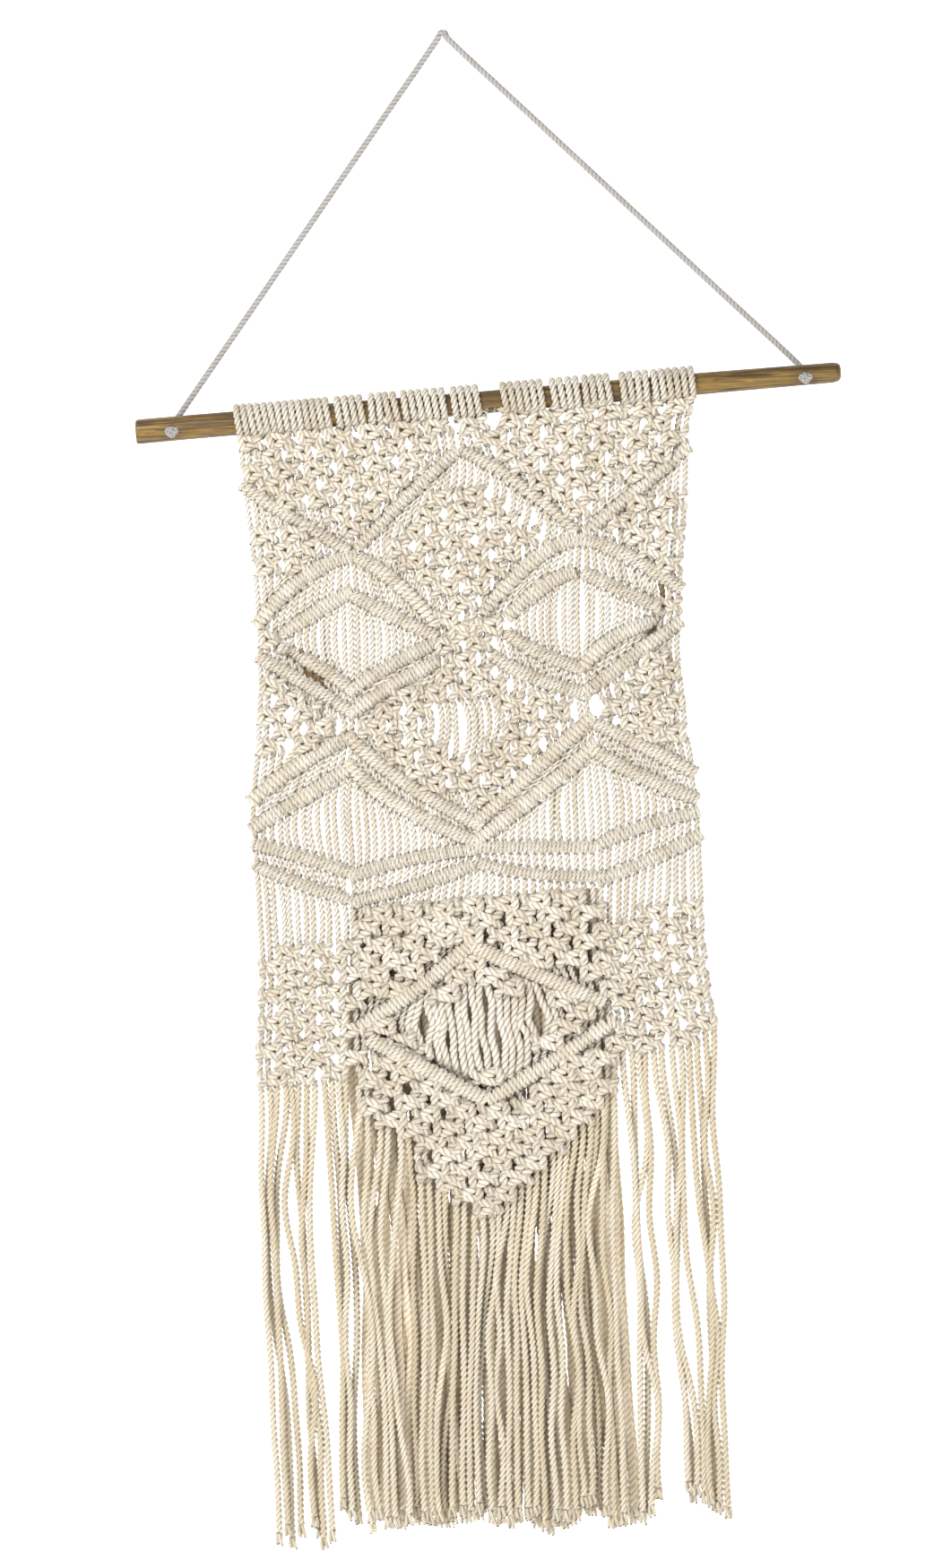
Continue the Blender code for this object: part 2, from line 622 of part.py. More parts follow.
def point_plan():
    """Layer and gathered shift of the strands that leave the point of the block in pairs."""
    layers, shifts = [], []
    for _, shift in POINT_PAIRS:
        layers += [-FRINGE_LAYER, FRINGE_LAYER]
        shifts += [shift, shift]
    return layers, shifts


def left_rim(s):
    """Drop of the left net's lower rim."""
    return NET_END + s / BLOCK_LEFT + RIM_GAP


def right_rim(s):
    """Drop of the right net's lower rim, which ends a little lower beside the block."""
    return NET_END + 2.0 * (STRANDS - s) / (STRANDS - BLOCK_RIGHT) + RIM_GAP


def point_rim(s):
    """Drop of the block's lower rim, which runs down to a point."""
    rim = sorted(corner for corner in OUTLINE if corner[1] > RIM_TOP)
    return float(np.interp(s, *zip(*rim))) + POINT_RIM_GAP


def back_rim(s):
    """Drop of the back fringe's level strip."""
    return BACK_STRIP_DROP


def back_middle(s, t):
    """Y of the back fringe's middle plane, mm."""
    return cloth_middle(s, t) + BACK_DEPTH


def build_fringes(finish, back_finish):
    """The four fringes: left side, right side, the block's point, and the one behind."""
    layers, shifts = side_plan(0, SIDE_KNOTS_LEFT)
    build_fringe("fringe_left", 0, left_rim, cloth_middle, STRIP_HALF,
                 layers, shifts, LENGTHS, finish)
    layers, shifts = side_plan(BLOCK_RIGHT, SIDE_KNOTS_RIGHT)
    build_fringe("fringe_right", BLOCK_RIGHT, right_rim, cloth_middle, STRIP_HALF,
                 layers, shifts, LENGTHS, finish)
    layers, shifts = point_plan()
    build_fringe("fringe_point", BLOCK_LEFT, point_rim, cloth_middle, STRIP_HALF,
                 layers, shifts, LENGTHS, finish)
    straight = [0.0] * BACK_STRANDS
    build_fringe("fringe_back", BLOCK_LEFT + 1, back_rim, back_middle, BACK_STRIP_HALF,
                 straight, straight, BACK_LENGTHS, back_finish)


# ---- the rod and its loops -----------------------------------------------------------
def rod_radius(x):
    """Radius of the rod at a place along X, mm."""
    table = np.array(ROD_PROFILE)
    return float(np.interp(x - ROD_LEFT, table[:, 0], table[:, 1]))


def ring_points(x, radius, rise, sides, turn=0.5):
    """A ring of points around the rod's axis."""
    z = float(height(x, ROD_DROP)) + rise
    angles = [2.0 * math.pi * (k + turn) / sides for k in range(sides)]
    return [(x, radius * math.cos(a), z + radius * math.sin(a)) for a in angles]


def loft(rings, closed):
    """Vertices and faces of rings joined one to the next, with end caps or as a closed tube."""
    sides = len(rings[0])
    vertices = [point for ring in rings for point in ring]
    faces = []
    count = len(rings)
    for k in range(count if closed else count - 1):
        a, b = sides * k, sides * ((k + 1) % count)
        for p in range(sides):
            q = (p + 1) % sides
            faces.append((a + p, a + q, b + q, b + p))
    if not closed:
        faces.append(tuple(range(sides)))
        faces.append(tuple(range(sides * (count - 1), sides * count)))
    return vertices, faces


def build_rod(finish):
    """The rod, with a hole near each end for the hanger."""
    rings = [ring_points(ROD_LEFT + along, radius, 0.0, ROD_SIDES)
             for along, radius in ROD_PROFILE]
    rod = add_object("rod", *loft(rings, False), finish, smooth=True)
    for name, x in (("hole_left", HOLE_LEFT), ("hole_right", HOLE_RIGHT)):
        z = float(height(x, ROD_DROP)) - HOLE_BELOW_AXIS
        bpy.ops.mesh.primitive_cylinder_add(
            vertices=HOLE_SIDES, radius=0.5 * HOLE_DIAMETER * MM, depth=CUTTER_LENGTH * MM,
            location=(x * MM, 0.0, z * MM), rotation=(math.pi / 2.0, 0.0, 0.0))
        cutter = bpy.context.active_object
        cutter.name = name
        cutter.hide_render = True
        cutter.display_type = "WIRE"
        cut = rod.modifiers.new(name, "BOOLEAN")
        cut.object = cutter
        cut.operation = "DIFFERENCE"
        cut.solver = "EXACT"
    return rod


def build_headings(finish):
    """The ribbed sleeves of packed loops around the rod."""
    turn_in = math.cos(math.pi / HEADING_SIDES)
    for number, (first, last, ribs) in enumerate(HEADINGS, 1):
        pitch = (last - first) / (ribs - 1)
        start, end = first - 0.5 * pitch, last + 0.5 * pitch
        inner = (max(rod_radius(start), rod_radius(end)) + CLEARANCE) / turn_in
        rings = [ring_points(start, inner, 0.0, HEADING_SIDES)]
        for k in range(ribs):
            x = first + k * pitch
            rings.append(ring_points(x - 0.5 * pitch, VALLEY_RADIUS, HEADING_RISE, HEADING_SIDES))
            rings.append(ring_points(x, RIB_RADIUS, HEADING_RISE, HEADING_SIDES))
        rings.append(ring_points(end, VALLEY_RADIUS, HEADING_RISE, HEADING_SIDES))
        rings.append(ring_points(end, inner, 0.0, HEADING_SIDES))
        add_object(f"heading_{number}", *loft(rings, True), finish)


# ---- the hanger ----------------------------------------------------------------------
def hanger_leg(x, inward):
    """One leg's points, from its stopper knot through the rod and up to the nail, in mm."""
    z = float(height(x, ROD_DROP)) - HOLE_BELOW_AXIS
    start = np.array((x + 5.0 * inward, HANGER_BACK - 0.3, z + 12.0))
    end = np.array((-inward * SHOULDER[0], SHOULDER[1], SHOULDER[2]))
    return [
        (x, HANGER_FRONT, z),
        (x, 0.0, z),
        (x, 8.0, z),
        (x + 0.2 * inward, 12.2, z + 1.6),
        (x + 1.2 * inward, HANGER_BACK, z + 6.0),
        *(start + (end - start) * step / LEG_LENGTHS for step in range(LEG_LENGTHS + 1)),
    ]


def hanger_route():
    """The hanger's route: its points in mm and the straight lengths up to each next one."""
    left, right = hanger_leg(HOLE_LEFT, 1.0), hanger_leg(HOLE_RIGHT, -1.0)
    out, back, up = CREST
    apex = [(-out, back, up), (0.0, 0.0, APEX_RISE), (out, back, up)]
    steps = [1, 1, 2, 2, 2] + [5] * LEG_LENGTHS
    return [*left, *apex, *right[::-1]], steps + [2, 2, 2, 2] + steps[::-1]


def smooth_route(points, steps):
    """Points read from a Catmull-Rom curve through the route's own points."""
    points = np.array(points)
    padded = np.vstack((2 * points[0] - points[1], points, 2 * points[-1] - points[-2]))
    result = []
    for k, count in enumerate(steps):
        a, b, c, d = padded[k:k + 4]
        for step in range(count):
            u = step / count
            result.append(0.5 * ((2 * b) + (c - a) * u + (2 * a - 5 * b + 4 * c - d) * u ** 2
                                 + (3 * b - a - 3 * c + d) * u ** 3))
    result.append(points[-1])
    return result


def build_hanger(finish):
    """The hanger cord, through both holes, and a stopper knot on each end in front."""
    points = smooth_route(*hanger_route())
    curve = bpy.data.curves.new("hanger_cord", "CURVE")
    curve.dimensions = "3D"
    curve.bevel_depth = HANGER_RADIUS * MM
    curve.bevel_resolution = 2
    curve.use_fill_caps = True
    spline = curve.splines.new("POLY")
    spline.points.add(len(points) - 1)
    for target, (x, y, z) in zip(spline.points, points):
        target.co = (x * MM, y * MM, z * MM, 1.0)
    curve.materials.append(finish)
    cord = bpy.data.objects.new("hanger_cord", curve)
    bpy.context.scene.collection.objects.link(cord)
    for name, x in (("hanger_knot_left", HOLE_LEFT), ("hanger_knot_right", HOLE_RIGHT)):
        z = float(height(x, ROD_DROP)) - HOLE_BELOW_AXIS
        y = HANGER_FRONT - STOPPER_RADIUS[1] - CLEARANCE
        shape = bmesh.new()
        bmesh.ops.create_icosphere(shape, subdivisions=2, radius=1.0)
        vertices = [(x + v.co.x * STOPPER_RADIUS[0], y + v.co.y * STOPPER_RADIUS[1],
                     z + v.co.z * STOPPER_RADIUS[2]) for v in shape.verts]
        faces = [tuple(v.index for v in face.verts) for face in shape.faces]
        shape.free()
        add_object(name, vertices, faces, finish, smooth=True)


def main():
    """Build every piece."""
    remove_everything()
    wood = material("rod_wood", (0.30, 0.155, 0.062), 0.55)
    heading_cotton = material("heading_cotton", (0.66, 0.55, 0.42), 0.9)
    cloth_cotton = material("knotted_cotton", (0.70, 0.60, 0.47), 0.9)
    fringe_cotton = material("fringe_cotton", (0.68, 0.57, 0.43), 0.9)
    back_cotton = material("back_fringe_cotton", (0.58, 0.47, 0.34), 0.9)
    hanger_cotton = material("hanger_cotton", (0.78, 0.74, 0.69), 0.85)
    build_rod(wood)
    build_headings(heading_cotton)
    build_cloth(cloth_cotton)
    build_fringes(fringe_cotton, back_cotton)
    build_hanger(hanger_cotton)


main()
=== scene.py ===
"""A macrame wall hanging on a wooden rod: its looks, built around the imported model.

Every length in this file is in millimetres until a mesh is made, unless a name or a comment
says otherwise.  +Z is up, +X runs to the right along the wall and a viewer stands at -Y.  The
origin is the point inside the bend of the hanger cord where a wall nail carries it.

The cotton is charted in strand space: s counts the 56 strands from the left edge (0) to the
right edge (56), so strand number i lies at s = i + 0.5, and the drop t is measured downwards
from the nail.  Knots, hitches and free strands are all twisted tubes laid along paths that
are worked out in this chart.
"""
import logging
import math
from dataclasses import dataclass, field
from enum import Enum
from typing import Any, Sequence

import bpy
import numpy as np
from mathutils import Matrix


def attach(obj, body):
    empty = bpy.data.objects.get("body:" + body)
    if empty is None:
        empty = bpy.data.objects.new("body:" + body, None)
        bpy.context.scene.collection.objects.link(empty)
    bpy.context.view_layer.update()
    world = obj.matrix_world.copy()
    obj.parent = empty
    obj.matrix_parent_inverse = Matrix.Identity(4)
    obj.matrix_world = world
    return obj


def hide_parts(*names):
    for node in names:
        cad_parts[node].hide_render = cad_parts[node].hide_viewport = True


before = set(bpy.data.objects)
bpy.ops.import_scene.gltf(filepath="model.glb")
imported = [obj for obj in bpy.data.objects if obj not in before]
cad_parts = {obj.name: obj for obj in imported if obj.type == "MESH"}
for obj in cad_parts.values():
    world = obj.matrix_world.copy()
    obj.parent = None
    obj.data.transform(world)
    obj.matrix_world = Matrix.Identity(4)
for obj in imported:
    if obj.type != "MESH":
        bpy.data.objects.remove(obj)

Array, Chance = np.ndarray, np.random.Generator
Material, Object = bpy.types.Material, bpy.types.Object
Pair, Triple = tuple[float, float], tuple[float, float, float]
log = logging.getLogger("wall_hanging")

MM = 0.001
CM = 10.0                     # millimetres in a centimetre, the unit of the cords' UV maps
STRANDS = 56
MIDDLE = STRANDS / 2
HALF_KNOT = 2                 # a knot takes up this many strands on either side of its middle
STRAND_PITCH = 4.9            # between neighbouring strands, where a shape is drawn flat
SLOPE = math.radians(2.13)    # the rod hangs a little higher at its right end
TILT = math.tan(SLOPE)
CURVE_STEPS = 24              # fine points between two controls of a smooth line
HALF_PLY = 1 / 6              # of the way around a cord, from a groove to the next crown
SEED = 11                     # of the headings' and the fringe's small differences


class Slot(Enum):
    """The record's material slots."""

    ROD = "rod_wood"
    HEADING = "heading_cotton"
    CLOTH = "knotted_cotton"
    FRINGE = "fringe_cotton"
    BACK = "back_fringe_cotton"
    HANGER = "hanger_cotton"


# ---- paths and tubes -------------------------------------------------------------------
def unit(vectors: Array) -> Array:
    """Vectors brought to length one along their last axis."""
    return vectors / np.maximum(np.linalg.norm(vectors, axis=-1, keepdims=True), 1e-9)


def through(controls: Sequence[Sequence[float]], spacing: float) -> Array:
    """A smooth line through control points, read at even steps.

    Between two points the line is the Catmull-Rom cubic of them and their neighbours; its
    end points are mirrored to give the first and last piece a neighbour.

    Args:
        controls: the points that the line passes.
        spacing: the distance between two stations, in the points' own unit.

    Returns:
        An array of stations, one row each.
    """
    points = np.asarray(controls, dtype=float)
    padded = np.vstack((2 * points[0] - points[1], points, 2 * points[-1] - points[-2]))
    u = np.linspace(0.0, 1.0, CURVE_STEPS, endpoint=False)[None, :, None]
    a, b, c, d = (padded[k:len(points) - 1 + k][:, None, :] for k in range(4))
    fine = 0.5 * (2 * b + (c - a) * u + (2 * a - 5 * b + 4 * c - d) * u ** 2
                  + (3 * b - a - 3 * c + d) * u ** 3)
    fine = np.vstack((fine.reshape(-1, points.shape[1]), points[-1:]))
    gone = np.concatenate(([0.0], np.cumsum(np.linalg.norm(np.diff(fine, axis=0), axis=1))))
    count = max(3, round(gone[-1] / spacing) + 1)
    wanted = np.linspace(0.0, gone[-1], count)
    return np.column_stack([np.interp(wanted, gone, fine[:, k]) for k in range(points.shape[1])])


def frames(paths: Array) -> tuple[Array, Array]:
    """Two directions across each path, turned as little as possible on the way.

    The first is carried from one station to the next by two mirrorings, one in the plane
    halfway between the stations and one in the plane that brings the old tangent onto the
    new one.

    Args:
        paths: stations as an array (path, station, 3).

    Returns:
        First normals and second normals, each shaped like paths.
    """
    tangents = unit(np.gradient(paths, axis=1))
    normals = np.empty_like(paths)
    start = tangents[:, 0]
    guide = np.where(np.abs(start[:, :1]) < 0.8, (1.0, 0.0, 0.0), (0.0, 0.0, 1.0))
    normals[:, 0] = unit(guide - np.sum(guide * start, axis=1, keepdims=True) * start)

    def mirror(vectors: Array, across: Array) -> Array:
        """Vectors mirrored in the planes that stand across these directions."""
        size = np.maximum(np.sum(across * across, axis=1, keepdims=True), 1e-12)
        return vectors - 2 / size * np.sum(across * vectors, 1, keepdims=True) * across

    for k in range(paths.shape[1] - 1):
        step = paths[:, k + 1] - paths[:, k]
        turn = tangents[:, k + 1] - mirror(tangents[:, k], step)
        normals[:, k + 1] = mirror(mirror(normals[:, k], step), turn)
    return normals, np.cross(tangents, normals)


def tube_faces(first: Array, stations: int, sides: int) -> tuple[Array, Array]:
    """Faces of closed tubes, whose vertices are numbered ring after ring.

    Args:
        first: number of each tube's first vertex.
        stations: rings of a tube.
        sides: vertices of a ring.

    Returns:
        The quads, one row each, and then the caps: all first ends, then all last ends.
    """
    here, after = np.arange(sides), (np.arange(sides) + 1) % sides
    ring = first[:, None, None] + np.arange(stations - 1)[None, :, None] * sides
    a, b = ring + here, ring + after
    quads = np.stack((a, b, b + sides, a + sides), axis=-1).reshape(-1, 4)
    ends = first[:, None] + here[::-1], first[:, None] + (stations - 1) * sides + here
    return quads, np.concatenate(ends)


@dataclass(frozen=True)
class Cord:
    """A laid cord, as a section that turns on its way so that its plies climb to the right.

    Attributes:
        radius: over the plies.
        lay: length of cord in which a ply turns once around it.
        hollow: depth of the groove between two plies, as a share of the radius.
        plies: each has one mesh point on its crown and one in the groove beside it.
    """

    radius: float
    lay: float = 11.0
    hollow: float = 0.26
    plies: int = 3

    @property
    def sides(self) -> int:
        """Mesh points around the cord."""
        return 2 * self.plies

    def spacing(self, steps: float = 9.0) -> float:
        """Distance between stations that gives this many of them to one lay."""
        return self.lay / steps

    def section(self) -> Array:
        """Radius of each mesh point around the cord: a groove and a crown in turn."""
        return self.radius * (1 - self.hollow * (np.arange(self.sides) % 2 == 0))


@dataclass
class Skein:
    """Twisted tubes gathered into one mesh.

    A tube's surface is P(v) + r(u) (N cos a + B sin a), where P is its path, N and B its
    normals, r the radius of a crown or a groove, and a = 2 pi (u + length / lay + phase).
    So the mesh lines follow the plies.  The UV map holds the way around, u, and the length
    along the cord in centimetres, and each point keeps its cord's shade.
    """

    name: str
    points: list[Array] = field(default_factory=list)
    faces: list[Array] = field(default_factory=list)
    caps: list[Array] = field(default_factory=list)
    uvs: list[Array] = field(default_factory=list)
    cap_uvs: list[Array] = field(default_factory=list)
    shades: list[Array] = field(default_factory=list)
    count: int = 0

    def add(self, paths: Array, cord: Cord, shade: Array | float = 0.5, girth: Array | float = 1.0,
            phase: Array | float = 0.0) -> None:
        """Lays one cord along each path.

        Args:
            paths: stations as an array (path, station, 3), in millimetres.
            cord: the cord's section.
            shade: one number from 0 to 1 for each path, its own tint of cotton.
            girth: factor on the radius at each station.
            phase: how far around each path's section starts, in turns.
        """
        number, stations, sides = paths.shape[0], paths.shape[1], cord.sides
        if number == 0:
            return
        normal, second = frames(paths)
        steps = np.linalg.norm(np.diff(paths, axis=1), axis=2)
        length = np.concatenate((np.zeros((number, 1)), np.cumsum(steps, axis=1)), axis=1)
        around = np.arange(sides) / sides
        start = np.broadcast_to(np.asarray(phase, dtype=float), (number,))
        angle = 2 * math.pi * (around + (length / cord.lay + start[:, None])[..., None])
        radius = cord.section() * np.broadcast_to(girth, (number, stations))[..., None]
        points = (paths[:, :, None] + (radius * np.cos(angle))[..., None] * normal[:, :, None]
                  + (radius * np.sin(angle))[..., None] * second[:, :, None])
        quads, caps = tube_faces(self.count + np.arange(number) * stations * sides,
                                 stations, sides)
        grid = (number, stations - 1, sides)
        low, high = (np.broadcast_to(part[..., None] / CM, grid)
                     for part in (length[:, :-1], length[:, 1:]))
        left, right = (np.broadcast_to((np.arange(sides) + k) / sides, grid) for k in (0, 1))
        ends = np.concatenate((np.zeros(number), length[:, -1]))[:, None] / CM
        turn = np.repeat((around[::-1], around), number, axis=0)
        self.faces.append(quads)
        self.caps.append(caps)
        self.uvs.append(np.stack((left, low, right, low, right, high, left, high),
                                 axis=-1).reshape(-1, 2))
        self.cap_uvs.append(np.stack((turn, np.broadcast_to(ends, turn.shape)),
                                     axis=-1).reshape(-1, 2))
        self.points.append(points.reshape(-1, 3))
        self.shades.append(np.repeat(np.broadcast_to(shade, (number,)), stations * sides))
        self.count += number * stations * sides

    def build(self, material: Material, slot: Slot, *nodes: str) -> Object:
        """Makes the mesh piece, dresses it and lets it stand for CAD nodes.

        Args:
            material: the cotton it is made of.
            slot: the record's slot for the piece; not used.
            nodes: the CAD nodes that it stands for.

        Returns:
            The piece.
        """
        mesh = mesh_of(self.name, np.concatenate(self.points), self.faces + self.caps)
        uvs = np.concatenate(self.uvs + self.cap_uvs).astype(np.float32)
        mesh.uv_layers.new(name="cord").data.foreach_set("uv", uvs.reshape(-1))
        shades = np.concatenate(self.shades).astype(np.float32)
        mesh.attributes.new("shade", "FLOAT", "POINT").data.foreach_set("value", shades)
        return place_piece(mesh, material, slot, nodes)


def mesh_of(name: str, points: Array, faces: Sequence[Array]) -> bpy.types.Mesh:
    """A smooth-shaded mesh from arrays.

    Args:
        name: the mesh's name.
        points: vertices, one row each.
        faces: arrays of polygons, with the vertex numbers of one polygon in a row.

    Returns:
        The mesh, in metres.
    """
    corners = np.concatenate([part.reshape(-1) for part in faces])
    sizes = np.concatenate([np.full(len(part), part.shape[1]) for part in faces])
    mesh = bpy.data.meshes.new(name)
    mesh.vertices.add(len(points))
    mesh.vertices.foreach_set("co", (points * MM).astype(np.float32).reshape(-1))
    mesh.loops.add(len(corners))
    mesh.loops.foreach_set("vertex_index", corners.astype(np.int32))
    mesh.polygons.add(len(sizes))
    starts = np.concatenate(([0], np.cumsum(sizes)[:-1]))
    mesh.polygons.foreach_set("loop_start", starts.astype(np.int32))
    mesh.update(calc_edges=True)
    mesh.shade_smooth()
    return mesh


def enter(name: str, data: bpy.types.ID) -> Object:
    """Puts a new object with this data into the scene."""
    thing = bpy.data.objects.new(name, data)
    bpy.context.scene.collection.objects.link(thing)
    return thing


def metres(point: Sequence[float]) -> tuple[float, ...]:
    """A point given in millimetres, in metres."""
    return tuple(c * MM for c in point)


def place_piece(mesh: bpy.types.Mesh, material: Material, slot: Slot,
                nodes: Sequence[str]) -> Object:
    """Makes a mesh a piece of the object that rides on its one body, and reports it."""
    mesh.materials.append(material)
    piece = enter(mesh.name, mesh)
    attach(piece, "root")
    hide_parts(*nodes)
    log.info("%s: %d triangles, stands for %s", mesh.name,
             len(mesh.loops) - 2 * len(mesh.polygons), ", ".join(nodes))
    return piece


# ---- materials --------------------------------------------------------------------------
def linear(hexadecimal: str) -> tuple[float, float, float, float]:
    """An sRGB hex colour as linear red, green, blue and alpha."""
    channels = [int(hexadecimal[k:k + 2], 16) / 255 for k in (1, 3, 5)]
    red, green, blue = (c / 12.92 if c <= 0.04045 else ((c + 0.055) / 1.055) ** 2.4
                        for c in channels)
    return red, green, blue, 1.0


@dataclass
class NodeDesk:
    """A material's node tree and the one small function that adds to it."""

    material: Material

    @classmethod
    def new(cls, name: str) -> "NodeDesk":
        """An empty material of that name."""
        material = bpy.data.materials.new(name)
        material.use_nodes = True
        material.node_tree.nodes.clear()
        return cls(material)

    def add(self, kind: str, settings: dict[str, Any] | None = None,
            **inputs: Any) -> bpy.types.Node:
        """Adds a node.

        Args:
            kind: the node's type, without the words ShaderNode.
            settings: properties of the node itself.
            inputs: an input's name with underscores for its blanks, or i and its number,
                and its value, or the output socket that feeds it.

        Returns:
            The node.
        """
        node = self.material.node_tree.nodes.new("ShaderNode" + kind)
        for name, value in (settings or {}).items():
            setattr(node, name, value)
        for name, value in inputs.items():
            numbered = name[0] == "i" and name[1:].isdigit()
            socket = node.inputs[int(name[1:]) if numbered else name.replace("_", " ")]
            if isinstance(value, bpy.types.NodeSocket):
                self.material.node_tree.links.new(value, socket)
            else:
                socket.default_value = value
        return node

    def ramp(self, source: bpy.types.NodeSocket,
             stops: Sequence[tuple[float, str]]) -> bpy.types.NodeSocket:
        """A colour read from hex stops by a number from 0 to 1."""
        node = self.add("ValToRGB", i0=source)
        elements = node.color_ramp.elements
        while len(elements) < len(stops):
            elements.new(1.0)
        for element, (place, colour) in zip(elements, stops):
            element.position = place
            element.color = linear(colour)
        return node.outputs["Color"]

    def finish(self, shader: bpy.types.Node) -> Material:
        """Joins the shader to the material's output and returns the material."""
        self.add("OutputMaterial", Surface=shader.outputs[0])
        return self.material


@dataclass(frozen=True)
class CottonFinish:
    """Soft-laid cotton cord: carded fibres in three plies, undyed, matt with a little fuzz.

    The fuzz catches light at grazing angles, so the cord has a faint sheen at its sides.

    Attributes:
        pale, deep: the lightest and the warmest tint of neighbouring cords.
        crease: painted shade, the darker colour painted between two plies for the shade in
            the groove, where light has bounced on the cotton.
        crease_shade_share: how much of that painted shade shows at the bottom of a groove.
        ply: how far a ply's crown stands over the crease beside it, on top of the mesh.
        around: length once around a cord.
        fibre: spacing of the fibre streaks; real fibres are 0.02, drawn coarser to show.
        streaks: fibre streaks to a centimetre of cord.
        fuzz: size of the loose fibres' tufts.
        relief: height of the fibre bump.
        cloud: size of the faint darker clouds, and cloud_tint their colour.
    """

    name: str
    pale: str
    deep: str
    crease: str
    crease_shade_share: float = 0.85
    ply: float = 0.45
    around: float = 12.0
    fibre: float = 0.35
    streaks: float = 1.6
    fuzz: float = 0.7
    relief: float = 0.12
    cloud: float = 14.0
    cloud_tint: str = "#e9e1d2"
    sheen: float = 0.25

    def build(self) -> Material:
        """Makes the material from the cord's own UV map and attributes."""
        desk = NodeDesk.new(self.name)
        shade = desk.add("Attribute", {"attribute_name": "shade"}).outputs["Fac"]
        place = desk.add("TexCoord").outputs["Object"]
        tone = desk.ramp(shade, ((0.0, self.pale), (1.0, self.deep)))
        cloud = desk.add("TexNoise", Vector=place, Scale=1 / (self.cloud * MM), Detail=3.0)
        clouds = desk.ramp(cloud.outputs["Fac"], ((0.3, self.cloud_tint), (0.7, "#ffffff")))
        cloudy = desk.add("Mix", {"data_type": "RGBA", "blend_type": "MULTIPLY"}, i0=0.5,
                          i6=tone, i7=clouds)
        uv = desk.add("UVMap", {"uv_map": "cord"}).outputs["UV"]
        # the way around becomes 0 in a groove and 1 on a crown, and the painted shade in the
        # groove is narrow
        height = desk.add("SeparateXYZ", Vector=uv).outputs["X"]
        for operation, second in (("PINGPONG", HALF_PLY), ("MULTIPLY", 1 / HALF_PLY)):
            height = desk.add("Math", {"operation": operation}, i0=height, i1=second).outputs[0]
        crease = desk.add("Math", {"operation": "SUBTRACT"}, i0=1.0, i1=height).outputs[0]
        for operation, second in (("POWER", 3.0), ("MULTIPLY", self.crease_shade_share)):
            crease = desk.add("Math", {"operation": operation}, i0=crease, i1=second).outputs[0]
        # painted shade: the crease colour is mixed in at the bottom of each groove
        creased = desk.add("Mix", {"data_type": "RGBA"}, i0=crease, i6=cloudy.outputs[2],
                           i7=linear(self.crease))
        stretched = desk.add("Mapping", Vector=uv,
                             Scale=(self.around / self.fibre, self.streaks, 1.0))
        fibres = desk.add("TexNoise", Vector=stretched.outputs[0], Scale=1.0, Detail=2.0)
        fuzz = desk.add("TexNoise", Vector=place, Scale=1 / (self.fuzz * MM), Detail=2.0)
        both = desk.add("Mix", i0=0.35, i2=fibres.outputs["Fac"], i3=fuzz.outputs["Fac"])
        rounded = desk.add("Math", {"operation": "POWER"}, i0=height, i1=0.5)
        plies = desk.add("Bump", Height=rounded.outputs[0], Distance=self.ply * MM)
        bump = desk.add("Bump", Height=both.outputs[0], Distance=self.relief * MM,
                        Strength=0.8, Normal=plies.outputs[0])
        shader = desk.add("BsdfPrincipled", Base_Color=creased.outputs[2], Roughness=0.94,
                          Sheen_Weight=self.sheen, Sheen_Roughness=0.6,
                          Specular_IOR_Level=0.2, Normal=bump.outputs[0])
        return desk.finish(shader)


@dataclass(frozen=True)
class WoodFinish:
    """A peeled and sanded branch, oiled: long grain, darker streaks and a satin surface.

    Attributes:
        light, middle, dark: early wood, late wood and the darkest streaks.
        stain: tint of the broad darker bands.
        grain: distance between two grain lines.
        band: distance between two broad bands.
        drawn_out: size of the pattern along the rod, as a share of its repeats.
    """

    name: str
    light: str
    middle: str
    dark: str
    stain: str = "#6e4a26"
    grain: float = 1.6
    band: float = 9.0
    drawn_out: float = 0.05

    def build(self) -> Material:
        """Makes the material, with the grain along the rod."""
        desk = NodeDesk.new(self.name)
        place = desk.add("TexCoord").outputs["Object"]
        along = desk.add("Mapping", Vector=place, Rotation=(0.0, SLOPE, 0.0),
                         Scale=(self.drawn_out, 1.0, 1.0)).outputs[0]
        grain = desk.add("TexNoise", Vector=along, Scale=1 / (self.grain * MM), Detail=5.0,
                         Roughness=0.62, Distortion=0.6).outputs["Fac"]
        broad = desk.add("TexNoise", Vector=along, Scale=1 / (self.band * MM), Detail=2.0)
        colour = desk.ramp(grain, ((0.30, self.dark), (0.46, self.middle), (0.66, self.light)))
        streak = desk.ramp(broad.outputs["Fac"], ((0.38, self.stain), (0.56, "#ffffff")))
        mixed = desk.add("Mix", {"data_type": "RGBA", "blend_type": "MULTIPLY"}, i0=0.75,
                         i6=colour, i7=streak)
        bump = desk.add("Bump", Height=grain, Distance=0.25 * MM, Strength=0.6)
        shader = desk.add("BsdfPrincipled", Base_Color=mixed.outputs[2], Roughness=0.5,
                          Normal=bump.outputs[0])
        return desk.finish(shader)


@dataclass(frozen=True)
class PaperFinish:
    """Seamless studio paper, matt and nearly white.

    Its own glow stands for the lamps behind it, which burn it out to an even white.
    """

    name: str
    colour: str
    glow: float = 0.5

    def build(self) -> Material:
        """Makes the material."""
        desk = NodeDesk.new(self.name)
        shader = desk.add("BsdfPrincipled", Base_Color=linear(self.colour), Roughness=0.9,
                          Emission_Color=linear("#ffffff"), Emission_Strength=self.glow)
        return desk.finish(shader)


# ---- the chart --------------------------------------------------------------------------
@dataclass(frozen=True)
class Opening:
    """A gap that pushes the strands beside it apart: its place and half sizes."""

    s: float
    t: float
    half_width: float
    half_height: float


